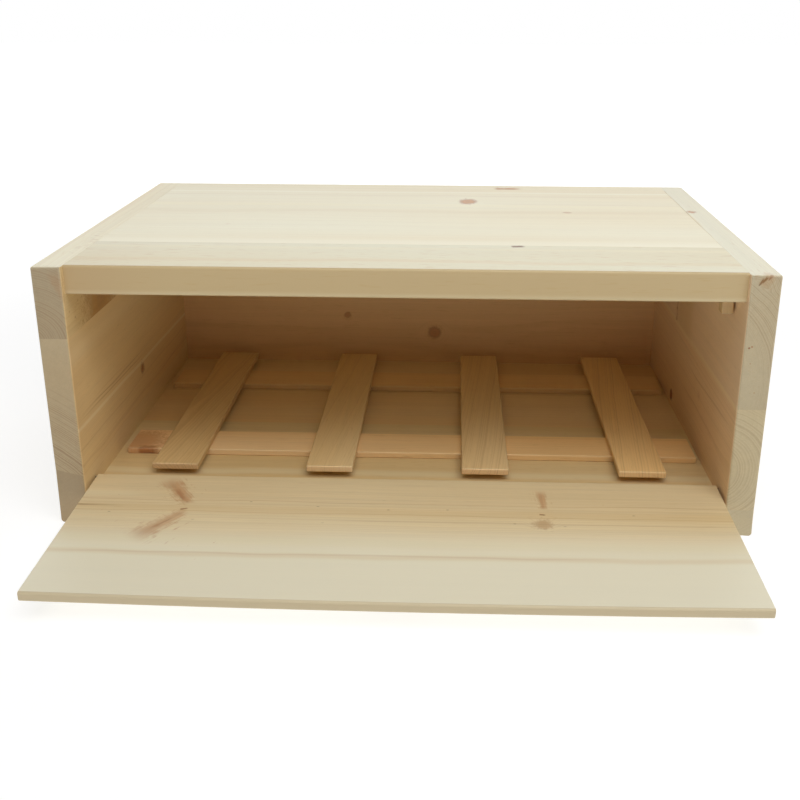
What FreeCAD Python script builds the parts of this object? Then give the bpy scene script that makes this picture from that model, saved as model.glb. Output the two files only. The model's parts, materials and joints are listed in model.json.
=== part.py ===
import FreeCAD, Part
import math
import os

# Bread box of planed pine. A doweled carcass of edge-glued panels stands on its floor panel,
# a drop-down front flap turns on two steel pins, and a loose slatted rack lies inside.
#
# Millimetres. +X is the box's right, +Y its back and +Z up. The origin is the centre of the
# carcass's footprint, on the surface that the box stands on. The flap is modelled open.

# --- Carcass ----------------------------------------------------------------------------------
BOX_WIDTH = 440.0             # over the two sides
BOX_DEPTH = 275.0             # front edges of the sides to the back
BOX_HEIGHT = 170.0
PANEL_THICKNESS = 18.0        # sides, top, back and floor are planed from one stock
FRONT_SETBACK = 4.0           # top and floor stand this far behind the sides' front edges
EASED_RADIUS = 1.5            # eased outer edges of every panel
FOOT_RADIUS = 2.5             # lower outer edges of the sides
JOINT_VEE = 0.35              # depth of the fine V where two panels meet flush

# Widths of the boards that each panel is glued up from. The last board takes the rest.
LEFT_LOWER_BOARD = 33.0
LEFT_MIDDLE_BOARD = 92.0
RIGHT_LOWER_BOARD = 18.0
RIGHT_MIDDLE_BOARD = 68.0
TOP_FRONT_BOARD = 61.0
BACK_LOWER_BOARD = 82.0
FLOOR_FRONT_BOARD = 118.0

# --- Dowels in the carcass joints ---------------------------------------------------------------
DOWEL_DIAMETER = 8.0
DOWEL_EDGE_DEPTH = 18.0       # length of dowel in the panel whose edge is bored
DOWEL_END_SPACE = 1.0         # glue space past each end of a dowel
DOWEL_COVER = 5.0             # wood left behind a blind bore in a panel's face
DOWEL_INSET = 25.0            # first and last dowel from the ends of a joint
DOWELS_PER_JOINT = 4

# --- Front flap ---------------------------------------------------------------------------------
FLAP_THICKNESS = 6.0
FLAP_SIDE_GAP = 1.5           # each side, to the carcass sides
FLAP_TOP_GAP = 1.0            # closed flap to the underside of the top
FLAP_FLOOR_GAP = 0.8          # round lower end of the flap above the floor panel
FLAP_REST_GAP = 0.3           # open flap to the floor's front edge, closed flap to the stop
FLAP_EDGE_RADIUS = 1.5        # eased free end of the flap
FLAP_LEAN_DEG = 1.0           # the closed flap leans back, and so stays shut
PIVOT_DEPTH = 19.0            # hinge axis behind the sides' front edges

# --- Hinge pins ---------------------------------------------------------------------------------
PIN_DIAMETER = 3.0
PIN_RUNNING_CLEARANCE = 0.08  # on the radius, in the flap
PIN_IN_FLAP = 14.0
PIN_END_SPACE = 1.0           # the bore in the flap runs this far past the pin
PIN_SUNK = 0.5                # outer end of the pin below the side's outer face

# --- Knob on the outside of the flap --------------------------------------------------------------
KNOB_DIAMETER = 24.0
KNOB_NECK_DIAMETER = 15.0
KNOB_RIM_THICKNESS = 5.0
KNOB_FLARE = 3.0              # height over which the neck widens to the rim
KNOB_CROWN_RISE = 0.8         # dome of the knob's face
KNOB_ROUND = 1.2              # rounding of the rim
KNOB_TENON_DIAMETER = 8.0
KNOB_TENON_COVER = 2.0        # wood left over the blind bore that takes the tenon
KNOB_INSET = 38.0             # knob's centre from the flap's free end
KNOB_TABLE_GAP = 2.5          # knob above the table while the flap is open

# --- Stop block under the top, at the right -------------------------------------------------------
STOP_WIDTH = 7.0
STOP_DEPTH = 8.0
STOP_HEIGHT = 13.5
STOP_SIDE_GAP = 1.3           # to the right side's inner face
STOP_EDGE_RADIUS = 0.7

# --- Slatted rack ---------------------------------------------------------------------------------
SLAT_WIDTH = 31.0
SLAT_THICKNESS = 4.5
SLAT_EDGE_RADIUS = 1.0
CROSS_SLATS = 4
SLAT_OVERHANG = 32.0          # cross slats past the rails under them, front and back
RAIL_OVERHANG = 27.0          # rails past the outer cross slats, left and right
RACK_LEFT_GAP = 6.5           # rail ends to the sides
RACK_RIGHT_GAP = 3.5
RACK_REAR_GAP = 7.0           # cross slats to the back panel
RACK_FLAP_GAP = 8.5           # cross slats to the closed flap

# --- Places worked out from the sizes above -------------------------------------------------------
ORIGIN = FreeCAD.Vector(0, 0, 0)
RIGHT = FreeCAD.Vector(1, 0, 0)
BACKWARD = FreeCAD.Vector(0, 1, 0)
UP = FreeCAD.Vector(0, 0, 1)
TOLERANCE = 1e-6              # for picking edges by their place

FRONT = -BOX_DEPTH / 2
REAR = BOX_DEPTH / 2
OUTER_X = BOX_WIDTH / 2
INNER_X = OUTER_X - PANEL_THICKNESS
PANEL_FRONT = FRONT + FRONT_SETBACK
BACK_INNER = REAR - PANEL_THICKNESS
TOP_UNDERSIDE = BOX_HEIGHT - PANEL_THICKNESS
HALF_PANEL = PANEL_THICKNESS / 2

HALF_FLAP = FLAP_THICKNESS / 2
FLAP_HALF_WIDTH = INNER_X - FLAP_SIDE_GAP
PIVOT_Y = FRONT + PIVOT_DEPTH
PIVOT_Z = PANEL_THICKNESS + FLAP_FLOOR_GAP + HALF_FLAP
FLAP_REACH = TOP_UNDERSIDE - FLAP_TOP_GAP - PIVOT_Z
LEAN = math.radians(FLAP_LEAN_DEG)
CLOSED_FLAP_BACK = PIVOT_Y + HALF_FLAP / math.cos(LEAN) + FLAP_REACH * math.tan(LEAN)
STOP_FACE = CLOSED_FLAP_BACK + FLAP_REST_GAP
KNOB_SEAT = FreeCAD.Vector(0, KNOB_INSET - FLAP_REACH, -HALF_FLAP)   # drawn about the hinge axis


def open_tilt():
    """Angle below level, in radians, of the open flap on the floor panel's eased front edge."""
    rise = PIVOT_Z - (PANEL_THICKNESS - EASED_RADIUS)
    run = PIVOT_Y - (PANEL_FRONT + EASED_RADIUS)
    offset = HALF_FLAP + EASED_RADIUS + FLAP_REST_GAP
    return math.acos(offset / math.hypot(rise, run)) - math.atan2(run, rise)


def block(low, high):
    """Box between two corners."""
    size = [end - start for start, end in zip(low, high)]
    return Part.makeBox(*size, FreeCAD.Vector(*low))


def eased(shape, radius, *places):
    """Shape with its straight edges rounded at the given places, each a dict of x, y or z to value."""
    def lies_at(edge, place):
        points = [vertex.Point for vertex in edge.Vertexes]
        return all(abs(getattr(point, axis) - value) < TOLERANCE
                   for point in points for axis, value in place.items())

    edges = [edge for edge in shape.Edges if any(lies_at(edge, place) for place in places)]
    return shape.makeFillet(radius, edges)


def vee_bar(start, along, across, length):
    """Square bar on its edge, which cuts a fine V along a flush joint."""
    out = along.cross(across)
    corners = [start + arm * JOINT_VEE for arm in (across, out, -across, -out)]
    diamond = Part.Face(Part.makePolygon(corners + corners[:1]))
    return diamond.extrude(along * length)


def joint_vees():
    """All the V bars along the outside of the joints between panels."""
    bars = [vee_bar(FreeCAD.Vector(-INNER_X, BACK_INNER, z), RIGHT, UP, 2 * INNER_X)
            for z in (0, BOX_HEIGHT)]
    for x in (-INNER_X, INNER_X):
        bars.append(vee_bar(FreeCAD.Vector(x, REAR, 0), UP, RIGHT, BOX_HEIGHT))
        for z in (0, BOX_HEIGHT):
            bars.append(vee_bar(FreeCAD.Vector(x, PANEL_FRONT, z), BACKWARD, UP, REAR - PANEL_FRONT))
    return bars


def spread(start, end):
    """Evenly spaced places of the dowels along a joint."""
    first = start + DOWEL_INSET
    step = (end - start - 2 * DOWEL_INSET) / (DOWELS_PER_JOINT - 1)
    return [first + step * i for i in range(DOWELS_PER_JOINT)]


def dowel_sites():
    """Where the dowels of each joint cross it, and their direction from bored face to bored edge."""
    top_z = BOX_HEIGHT - HALF_PANEL
    back_y = REAR - HALF_PANEL
    depths = spread(PANEL_FRONT, BACK_INNER)
    heights = spread(0, BOX_HEIGHT)
    widths = spread(-INNER_X, INNER_X)
    sites = {
        "top_back": [(FreeCAD.Vector(x, BACK_INNER, top_z), -BACKWARD) for x in widths],
        "floor_back": [(FreeCAD.Vector(x, BACK_INNER, HALF_PANEL), -BACKWARD) for x in widths],
    }
    for hand, x, inward in (("left", -INNER_X, RIGHT), ("right", INNER_X, -RIGHT)):
        sites["top_" + hand] = [(FreeCAD.Vector(x, y, top_z), inward) for y in depths]
        sites["floor_" + hand] = [(FreeCAD.Vector(x, y, HALF_PANEL), inward) for y in depths]
        sites["back_" + hand] = [(FreeCAD.Vector(x, back_y, z), inward) for z in heights]
    return sites


def dowel_rod(site, end_space=0.0):
    """Dowel across a joint or, with an end space, the bore that takes it."""
    point, direction = site
    face_depth = PANEL_THICKNESS - DOWEL_COVER - DOWEL_END_SPACE
    start = point - direction * (face_depth + end_space)
    length = face_depth + DOWEL_EDGE_DEPTH + 2 * end_space
    return Part.makeCylinder(DOWEL_DIAMETER / 2, length, start, direction)


def machined(panel, joints):
    """Panel with the dowel bores of the named joints and the V along its flush joints."""
    sites = dowel_sites()
    bores = [dowel_rod(site, DOWEL_END_SPACE) for joint in joints for site in sites[joint]]
    return panel.cut(Part.makeCompound(bores)).cut(Part.makeCompound(joint_vees()))


def pin_rod(sign, radius, outer_x, depth_in_flap):
    """Rod on the hinge axis at one side, from an outer place to a depth inside the flap's end."""
    start = FreeCAD.Vector(sign * outer_x, PIVOT_Y, PIVOT_Z)
    return Part.makeCylinder(radius, outer_x - FLAP_HALF_WIDTH + depth_in_flap, start, RIGHT * -sign)


def side_panel(hand, sign):
    """Left or right side, with the through bore that its hinge pin is driven into."""
    inner = sign * INNER_X
    outer = sign * OUTER_X
    panel = block((min(inner, outer), FRONT, 0), (max(inner, outer), REAR, BOX_HEIGHT))
    panel = eased(panel, FOOT_RADIUS, dict(x=outer, z=0))
    panel = eased(panel, EASED_RADIUS, dict(y=FRONT), dict(x=outer, z=BOX_HEIGHT), dict(x=outer, y=REAR),
                  dict(y=REAR, z=0), dict(y=REAR, z=BOX_HEIGHT))
    panel = machined(panel, ["top_" + hand, "floor_" + hand, "back_" + hand])
    return panel.cut(pin_rod(sign, PIN_DIAMETER / 2, OUTER_X, 0))


def level_panel(name, underside):
    """Top or floor, between the sides and in front of the back."""
    panel = block((-INNER_X, PANEL_FRONT, underside), (INNER_X, BACK_INNER, underside + PANEL_THICKNESS))
    panel = eased(panel, EASED_RADIUS, dict(y=PANEL_FRONT))
    return machined(panel, [name + "_left", name + "_right", name + "_back"])


def back_panel():
    """Full-height back between the sides."""
    panel = block((-INNER_X, BACK_INNER, 0), (INNER_X, REAR, BOX_HEIGHT))
    panel = eased(panel, EASED_RADIUS, dict(y=REAR, z=0), dict(y=REAR, z=BOX_HEIGHT))
    return machined(panel, ["back_left", "back_right", "top_back", "floor_back"])


def ripped(panel, axis, widths):
    """Boards that a panel is glued up from, in order along x, y or z; the last takes the rest."""
    bounds = panel.BoundBox
    low = dict(x=bounds.XMin, y=bounds.YMin, z=bounds.ZMin)
    high = dict(x=bounds.XMax, y=bounds.YMax, z=bounds.ZMax)
    boards = []
    for width in widths + [high[axis] - low[axis] - sum(widths)]:
        end = low[axis] + width
        slab = block(low.values(), {**high, axis: end}.values())
        boards.append(panel.common(slab).Solids[0])
        low[axis] = end
    return boards


def panel_boards():
    """Every board of the carcass, by name."""
    levels = ("lower", "middle", "upper")
    panels = [
        ("left_side", levels, side_panel("left", -1), "z", [LEFT_LOWER_BOARD, LEFT_MIDDLE_BOARD]),
        ("right_side", levels, side_panel("right", 1), "z", [RIGHT_LOWER_BOARD, RIGHT_MIDDLE_BOARD]),
        ("top", ("front", "rear"), level_panel("top", TOP_UNDERSIDE), "y", [TOP_FRONT_BOARD]),
        ("floor", ("front", "rear"), level_panel("floor", 0), "y", [FLOOR_FRONT_BOARD]),
        ("back", ("lower", "upper"), back_panel(), "z", [BACK_LOWER_BOARD]),
    ]
    boards = {}
    for panel_name, places, panel, axis, widths in panels:
        for place, board in zip(places, ripped(panel, axis, widths)):
            boards[f"{panel_name}_{place}_board"] = board
    return boards


def dowel_groups():
    """The dowels of each joint as one group of rods."""
    return {joint + "_dowels": Part.makeCompound([dowel_rod(site) for site in sites])
            for joint, sites in dowel_sites().items()}


def hinge_pins():
    """Steel pins, driven through the sides from outside, that the flap turns on."""
    outer_x = OUTER_X - PIN_SUNK
    return {hand + "_hinge_pin": pin_rod(sign, PIN_DIAMETER / 2, outer_x, PIN_IN_FLAP)
            for hand, sign in (("left", -1), ("right", 1))}


def stop_block():
    """Small block glued under the top, which the closed flap leans on."""
    right = INNER_X - STOP_SIDE_GAP
    left = right - STOP_WIDTH
    bottom = TOP_UNDERSIDE - STOP_HEIGHT
    rear = STOP_FACE + STOP_DEPTH
    solid = block((left, STOP_FACE, bottom), (right, rear, TOP_UNDERSIDE))
    uprights = [dict(x=x, y=y) for x in (left, right) for y in (STOP_FACE, rear)]
    return eased(solid, STOP_EDGE_RADIUS, dict(z=bottom), *uprights)


def laid_open(shape):
    """Shape drawn about the hinge axis for a level flap, moved to where the open flap lies."""
    shape.rotate(ORIGIN, RIGHT, math.degrees(open_tilt()))
    shape.translate(FreeCAD.Vector(0, PIVOT_Y, PIVOT_Z))
    return shape


def flap_board():
    """Flap of one board: round end on the hinge axis, eased free end, bores for pins and knob."""
    board = block((-FLAP_HALF_WIDTH, -FLAP_REACH, -HALF_FLAP), (FLAP_HALF_WIDTH, 0, HALF_FLAP))
    board = eased(board, FLAP_EDGE_RADIUS, dict(y=-FLAP_REACH))
    left_end = FreeCAD.Vector(-FLAP_HALF_WIDTH, 0, 0)
    round_end = Part.makeCylinder(HALF_FLAP, 2 * FLAP_HALF_WIDTH, left_end, RIGHT)
    board = board.fuse(round_end).removeSplitter()
    bore_radius = PIN_DIAMETER / 2 + PIN_RUNNING_CLEARANCE
    bore_depth = PIN_IN_FLAP + PIN_END_SPACE
    bores = [Part.makeCylinder(bore_radius, bore_depth, -left_end * sign, RIGHT * -sign)
             for sign in (-1, 1)]
    tenon_depth = FLAP_THICKNESS - KNOB_TENON_COVER
    bores.append(Part.makeCylinder(KNOB_TENON_DIAMETER / 2, tenon_depth, KNOB_SEAT, UP))
    return laid_open(board.cut(Part.makeCompound(bores)).Solids[0])


def knob_height():
    """Height of the knob that keeps its gap above the table while the flap is open."""
    reach = FLAP_REACH - KNOB_INSET + KNOB_DIAMETER / 2
    underside = PIVOT_Z - reach * math.sin(open_tilt()) - HALF_FLAP
    return underside - KNOB_TABLE_GAP


def flap_knob():
    """Turned knob: tenon, straight neck, flare, rounded rim and a low domed face."""
    radius = KNOB_DIAMETER / 2
    height = knob_height()
    shoulder = height - KNOB_CROWN_RISE
    flare_top = shoulder - KNOB_RIM_THICKNESS
    outline = [(0, KNOB_TENON_COVER - FLAP_THICKNESS),
               (KNOB_TENON_DIAMETER / 2, KNOB_TENON_COVER - FLAP_THICKNESS),
               (KNOB_TENON_DIAMETER / 2, 0),
               (KNOB_NECK_DIAMETER / 2, 0),
               (KNOB_NECK_DIAMETER / 2, flare_top - KNOB_FLARE),
               (radius, flare_top),
               (radius, shoulder)]
    corners = [FreeCAD.Vector(r, 0, -h) for r, h in outline]
    crown = FreeCAD.Vector(0, 0, -height)
    sphere = (radius ** 2 + KNOB_CROWN_RISE ** 2) / (2 * KNOB_CROWN_RISE)
    middle_rise = sphere - math.sqrt(sphere ** 2 - radius ** 2 / 4)
    middle = FreeCAD.Vector(radius / 2, 0, middle_rise - height)
    edges = [Part.LineSegment(a, b).toShape() for a, b in zip(corners, corners[1:])]
    edges.append(Part.Arc(corners[-1], middle, crown).toShape())
    edges.append(Part.LineSegment(crown, corners[0]).toShape())
    knob = Part.Face(Part.Wire(edges)).revolve(ORIGIN, UP, 360)
    rims = [edge for edge in knob.Edges if edge.Closed and abs(edge.BoundBox.XMax - radius) < TOLERANCE]
    knob = knob.makeFillet(KNOB_ROUND, rims)
    knob.translate(KNOB_SEAT)
    return laid_open(knob)


def slat(corner, length_x, length_y):
    """Flat slat of the rack with all its edges eased."""
    solid = Part.makeBox(length_x, length_y, SLAT_THICKNESS, corner)
    return solid.makeFillet(SLAT_EDGE_RADIUS, solid.Edges)


def rack():
    """Loose rack: two rails on the floor panel and cross slats glued over them."""
    left = RACK_LEFT_GAP - INNER_X
    right = INNER_X - RACK_RIGHT_GAP
    front = CLOSED_FLAP_BACK + RACK_FLAP_GAP
    rear = BACK_INNER - RACK_REAR_GAP
    rail_places = {"front": front + SLAT_OVERHANG, "rear": rear - SLAT_OVERHANG - SLAT_WIDTH}
    pieces = {}
    for place, y in rail_places.items():
        corner = FreeCAD.Vector(left, y, PANEL_THICKNESS)
        pieces[f"rack_{place}_rail"] = slat(corner, right - left, SLAT_WIDTH)
    first = left + RAIL_OVERHANG
    last = right - RAIL_OVERHANG - SLAT_WIDTH
    for i in range(CROSS_SLATS):
        x = first + (last - first) * i / (CROSS_SLATS - 1)
        corner = FreeCAD.Vector(x, front, PANEL_THICKNESS + SLAT_THICKNESS)
        pieces[f"rack_cross_slat_{i + 1}"] = slat(corner, SLAT_WIDTH, rear - front)
    return pieces


def main():
    """Write one STEP file for each node."""
    os.makedirs("parts", exist_ok=True)
    nodes = {
        **panel_boards(),
        **dowel_groups(),
        **hinge_pins(),
        "stop_block": stop_block(),
        "flap_board": flap_board(),
        "flap_knob": flap_knob(),
        **rack(),
    }
    for name, shape in nodes.items():
        shape.exportStep(f"parts/{name}.step")


main()
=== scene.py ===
"""Looks of a pine bread box with a drop-down front flap and a loose slatted rack.

Every board is a mesh with eased edges, finished by one solid wood shader: its growth rings, fibres,
knots and end grain follow from where the board lay in its log. Metres, in the frame of the model.
"""
from __future__ import annotations

import json
import logging
import math
import zlib
from collections.abc import Iterable, Mapping, Sequence
from dataclasses import dataclass
from enum import Enum
from typing import Any, Union

import bmesh
import bpy
from mathutils import Matrix, Vector


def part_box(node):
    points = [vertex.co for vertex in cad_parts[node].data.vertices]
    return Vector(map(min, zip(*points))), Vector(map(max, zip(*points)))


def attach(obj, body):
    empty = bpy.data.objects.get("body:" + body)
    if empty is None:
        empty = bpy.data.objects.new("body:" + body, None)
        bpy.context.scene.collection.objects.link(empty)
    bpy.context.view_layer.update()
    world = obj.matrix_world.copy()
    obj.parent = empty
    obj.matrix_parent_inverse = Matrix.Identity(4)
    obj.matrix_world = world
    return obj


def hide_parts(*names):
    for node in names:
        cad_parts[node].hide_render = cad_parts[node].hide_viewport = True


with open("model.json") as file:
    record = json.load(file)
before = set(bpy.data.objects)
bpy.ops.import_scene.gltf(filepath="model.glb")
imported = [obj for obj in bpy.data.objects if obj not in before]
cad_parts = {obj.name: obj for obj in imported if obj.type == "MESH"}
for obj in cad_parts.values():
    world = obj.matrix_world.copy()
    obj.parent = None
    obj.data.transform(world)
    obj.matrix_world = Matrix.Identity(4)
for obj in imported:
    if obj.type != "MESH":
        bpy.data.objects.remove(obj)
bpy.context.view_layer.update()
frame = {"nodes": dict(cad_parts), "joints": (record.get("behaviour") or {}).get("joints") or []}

LOG = logging.getLogger("bread_box")
Triple = tuple[float, float, float]
Pair = tuple[float, float]
Bore = tuple[Triple, Triple, float]   # its two ends and its radius

MM = 0.001
MICRON = 1e-6
SAME_PLACE = 1e-5             # two places nearer than this are one
LARGE_FACE = 0.01             # a face counts as large from this share of the largest one
SMOOTH_DEG = 46.0             # edges sharper than this stay sharp in the shading
FLAT_WEIGHT = 100             # of the normals of large faces over those of roundings
BORE_SIDES = 48
LOG_SHIFT = "log_shift"       # attribute of slats: how far off in the log each was cut
SLAT_NUMBER = "slat_number"   # attribute of slats: which of its row each one is
EASED = "eased"               # attribute of eased edges: 1 on the rounding, 0 on the faces

LEFTWARD: Triple = (-1.0, 0.0, 0.0)
RIGHTWARD: Triple = (1.0, 0.0, 0.0)
FRONTWARD: Triple = (0.0, -1.0, 0.0)
REARWARD: Triple = (0.0, 1.0, 0.0)


def srgb(red: int, green: int, blue: int) -> Triple:
    """Linear colour of an 8-bit screen colour.

    Args:
        red: its red, from 0 to 255.
        green: its green.
        blue: its blue.

    Returns:
        The colour as shaders take it.
    """
    def linear(value: int) -> float:
        """Linear value of one 8-bit channel."""
        share = value / 255
        return share / 12.92 if share <= 0.04045 else ((share + 0.055) / 1.055) ** 2.4
    return linear(red), linear(green), linear(blue)


# --- Shader maths ---------------------------------------------------------------------------------


class Socket:
    """One output of a node, which adds further nodes when it stands in an expression."""

    def __init__(self, graph: "Graph", socket: bpy.types.NodeSocket) -> None:
        """Keeps the graph and the output."""
        self.graph = graph
        self.socket = socket


class Number(Socket):
    """A number that varies over the surface."""

    def _math(self, operation: str, *terms: "Term") -> "Number":
        """A Math node in the same graph."""
        return self.graph.math(operation, *terms)

    def __add__(self, other: "Term") -> "Number":
        """The sum."""
        return self._math("ADD", self, other)

    def __sub__(self, other: "Term") -> "Number":
        """The difference."""
        return self._math("SUBTRACT", self, other)

    def __rsub__(self, other: "Term") -> "Number":
        """The difference from a plain number."""
        return self._math("SUBTRACT", other, self)

    def __mul__(self, other: "Term") -> "Number":
        """The product."""
        return self._math("MULTIPLY", self, other)

    def __truediv__(self, other: "Term") -> "Number":
        """The quotient."""
        return self._math("DIVIDE", self, other)

    def __rtruediv__(self, other: "Term") -> "Number":
        """A plain number divided by this one."""
        return self._math("DIVIDE", other, self)

    def __pow__(self, other: "Term") -> "Number":
        """The power."""
        return self._math("POWER", self, other)

    def __abs__(self) -> "Number":
        """The number without its sign."""
        return self._math("ABSOLUTE", self)

    __radd__ = __add__
    __rmul__ = __mul__

    def at_least(self, other: "Term") -> "Number":
        """The larger of the two."""
        return self._math("MAXIMUM", self, other)

    def whole(self) -> "Number":
        """The number rounded down."""
        return self._math("FLOOR", self)

    def rest(self) -> "Number":
        """What is left over the rounded-down number."""
        return self._math("FRACT", self)

    def sine(self) -> "Number":
        """Its sine."""
        return self._math("SINE", self)

    def ease(self, start: "Term", end: "Term") -> "Number":
        """Smooth step between two values.

        Args:
            start: where it is 0; it may be the larger.
            end: where it is 1.

        Returns:
            The step.
        """
        settings = {"interpolation_type": "SMOOTHSTEP"}
        inputs = {"Value": self, "From Min": start, "From Max": end}
        return Number(self.graph, self.graph.node("ShaderNodeMapRange", settings, inputs).outputs[0])


Term = Union[Number, float]


class Arrow(Socket):
    """A vector or colour that varies over the surface."""

    def _vector(self, operation: str, inputs: Mapping[Any, Any]) -> "Arrow":
        """A Vector Math node that gives a vector."""
        node = self.graph.node("ShaderNodeVectorMath", {"operation": operation}, inputs)
        return Arrow(self.graph, node.outputs["Vector"])

    def _measure(self, operation: str, inputs: Mapping[Any, Any]) -> Number:
        """A Vector Math node that gives a number."""
        node = self.graph.node("ShaderNodeVectorMath", {"operation": operation}, inputs)
        return Number(self.graph, node.outputs["Value"])

    def __add__(self, other: Union["Arrow", Triple]) -> "Arrow":
        """The sum."""
        return self._vector("ADD", {0: self, 1: other})

    def __sub__(self, other: Union["Arrow", Triple]) -> "Arrow":
        """The difference."""
        return self._vector("SUBTRACT", {0: self, 1: other})

    def __mul__(self, other: Union["Arrow", Triple]) -> "Arrow":
        """The product, axis by axis."""
        return self._vector("MULTIPLY", {0: self, 1: other})

    def __abs__(self) -> "Arrow":
        """The vector without its signs."""
        return self._vector("ABSOLUTE", {0: self})

    def scaled(self, factor: Term) -> "Arrow":
        """The vector or colour times a number."""
        return self._vector("SCALE", {0: self, "Scale": factor})

    def at_least(self, other: Triple) -> "Arrow":
        """The larger of the two on each axis."""
        return self._vector("MAXIMUM", {0: self, 1: other})

    def at_most(self, other: Triple) -> "Arrow":
        """The smaller of the two on each axis."""
        return self._vector("MINIMUM", {0: self, 1: other})

    def signs(self) -> "Arrow":
        """1, 0 or -1 on each axis."""
        return self._vector("SIGN", {0: self})

    def ceiling(self) -> "Arrow":
        """Rounded up on each axis."""
        return self._vector("CEIL", {0: self})

    def unit(self) -> "Arrow":
        """The same direction with a length of 1."""
        return self._vector("NORMALIZE", {0: self})

    def cross(self, other: Triple) -> "Arrow":
        """Vector product."""
        return self._vector("CROSS_PRODUCT", {0: self, 1: other})

    def dot(self, other: Triple) -> Number:
        """Scalar product."""
        return self._measure("DOT_PRODUCT", {0: self, 1: other})

    def length(self) -> Number:
        """Length of the vector."""
        return self._measure("LENGTH", {0: self})

    def parts(self) -> list[Number]:
        """Its x, y and z."""
        node = self.graph.node("ShaderNodeSeparateXYZ", {}, {0: self})
        return [Number(self.graph, output) for output in node.outputs]

    def mixed(self, other: Union["Arrow", Triple], share: Term) -> "Arrow":
        """This colour moved towards another by a share from 0 to 1."""
        return self.graph.mix(share, self, other)


class Graph:
    """A node tree that is written as Python expressions."""

    MIX_A, MIX_B, MIX_RESULT = 6, 7, 2   # colour sockets of a Mix node

    def __init__(self, tree: bpy.types.NodeTree) -> None:
        """Keeps the node tree that it fills."""
        self.tree = tree

    def node(self, kind: str, settings: Mapping[str, Any], inputs: Mapping[Any, Any]) -> bpy.types.Node:
        """Adds a node.

        Args:
            kind: type of the node.
            settings: its properties, which are set first.
            inputs: a value or a link for each socket, by name or index.

        Returns:
            The new node.
        """
        node = self.tree.nodes.new(kind)
        for key, value in settings.items():
            setattr(node, key, value)
        for key, value in inputs.items():
            source = value.socket if isinstance(value, Socket) else value
            if isinstance(source, bpy.types.NodeSocket):
                self.tree.links.new(source, node.inputs[key])
            else:
                node.inputs[key].default_value = self._filled(node.inputs[key], source)
        return node

    @staticmethod
    def _filled(socket: bpy.types.NodeSocket, value: Any) -> Any:
        """A colour of three numbers with the fourth that its socket asks for."""
        return (*value, 1.0) if socket.type == "RGBA" and len(value) == 3 else value

    def math(self, operation: str, *terms: Term) -> Number:
        """One Math node on numbers or sockets."""
        node = self.node("ShaderNodeMath", {"operation": operation}, dict(enumerate(terms)))
        return Number(self, node.outputs[0])

    def mix(self, share: Term, first: Union[Arrow, Triple], second: Union[Arrow, Triple]) -> Arrow:
        """Colour between two others.

        Args:
            share: 0 is the first and 1 the second.
            first: a colour.
            second: another.

        Returns:
            The mixed colour.
        """
        inputs = {0: share, self.MIX_A: first, self.MIX_B: second}
        node = self.node("ShaderNodeMix", {"data_type": "RGBA"}, inputs)
        return Arrow(self, node.outputs[self.MIX_RESULT])


class Surface(Graph):
    """The node tree of one material."""

    def __init__(self, name: str) -> None:
        """Makes the material, with an empty tree.

        Args:
            name: name of the material.
        """
        self.material = bpy.data.materials.new(name)
        self.material.use_nodes = True
        super().__init__(self.material.node_tree)
        self.tree.nodes.clear()

    def noise(self, place: Arrow, detail: float = 2.0, roughness: float = 0.5) -> Number:
        """Soft noise from 0 to 1 about 0.5, with one wave to each unit of place."""
        inputs = {"Vector": place, "Scale": 1.0, "Detail": detail, "Roughness": roughness}
        return Number(self, self.node("ShaderNodeTexNoise", {}, inputs).outputs["Fac"])

    def line_noise(self, place: Number, detail: float = 1.0) -> Number:
        """Soft noise along one number.

        Args:
            place: the number.
            detail: how many finer waves are added.

        Returns:
            Noise from 0 to 1 about 0.5.
        """
        inputs = {"W": place, "Scale": 1.0, "Detail": detail}
        node = self.node("ShaderNodeTexNoise", {"noise_dimensions": "1D"}, inputs)
        return Number(self, node.outputs["Fac"])

    def scaled(self, fixed: Triple, factor: Number) -> Arrow:
        """A fixed vector times a number that varies."""
        node = self.node("ShaderNodeVectorMath", {"operation": "SCALE"}, {0: fixed, "Scale": factor})
        return Arrow(self, node.outputs["Vector"])

    def dice(self, number: Number) -> Number:
        """A fixed random number from 0 to 1 for each value of a number."""
        node = self.node("ShaderNodeTexWhiteNoise", {"noise_dimensions": "1D"}, {"W": number})
        return Number(self, node.outputs["Value"])

    def place(self) -> Arrow:
        """Object coordinates, which are the model's own frame."""
        return Arrow(self, self.node("ShaderNodeTexCoord", {}, {}).outputs["Object"])

    def facing(self) -> Arrow:
        """Direction that the surface faces, in the object's frame."""
        return Arrow(self, self.node("ShaderNodeTexCoord", {}, {}).outputs["Normal"])

    def painted(self, name: str) -> Number:
        """A number kept on the mesh."""
        return Number(self, self.node("ShaderNodeAttribute", {"attribute_name": name}, {}).outputs["Fac"])

    def drawn(self, name: str) -> Arrow:
        """A vector kept on the mesh."""
        return Arrow(self, self.node("ShaderNodeAttribute", {"attribute_name": name}, {}).outputs["Vector"])

    def bump(self, height: Number) -> Arrow:
        """Normal of a surface with a relief of that height, in metres."""
        node = self.node("ShaderNodeBump", {}, {"Strength": 1.0, "Distance": 1.0, "Height": height})
        return Arrow(self, node.outputs["Normal"])

    def finish(self, inputs: Mapping[str, Any]) -> bpy.types.Material:
        """Ends the tree in a Principled surface.

        Args:
            inputs: a value or a link for each of its sockets.

        Returns:
            The material.
        """
        surface = self.node("ShaderNodeBsdfPrincipled", {}, inputs)
        self.node("ShaderNodeOutputMaterial", {}, {"Surface": surface.outputs["BSDF"]})
        return self.material


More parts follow.
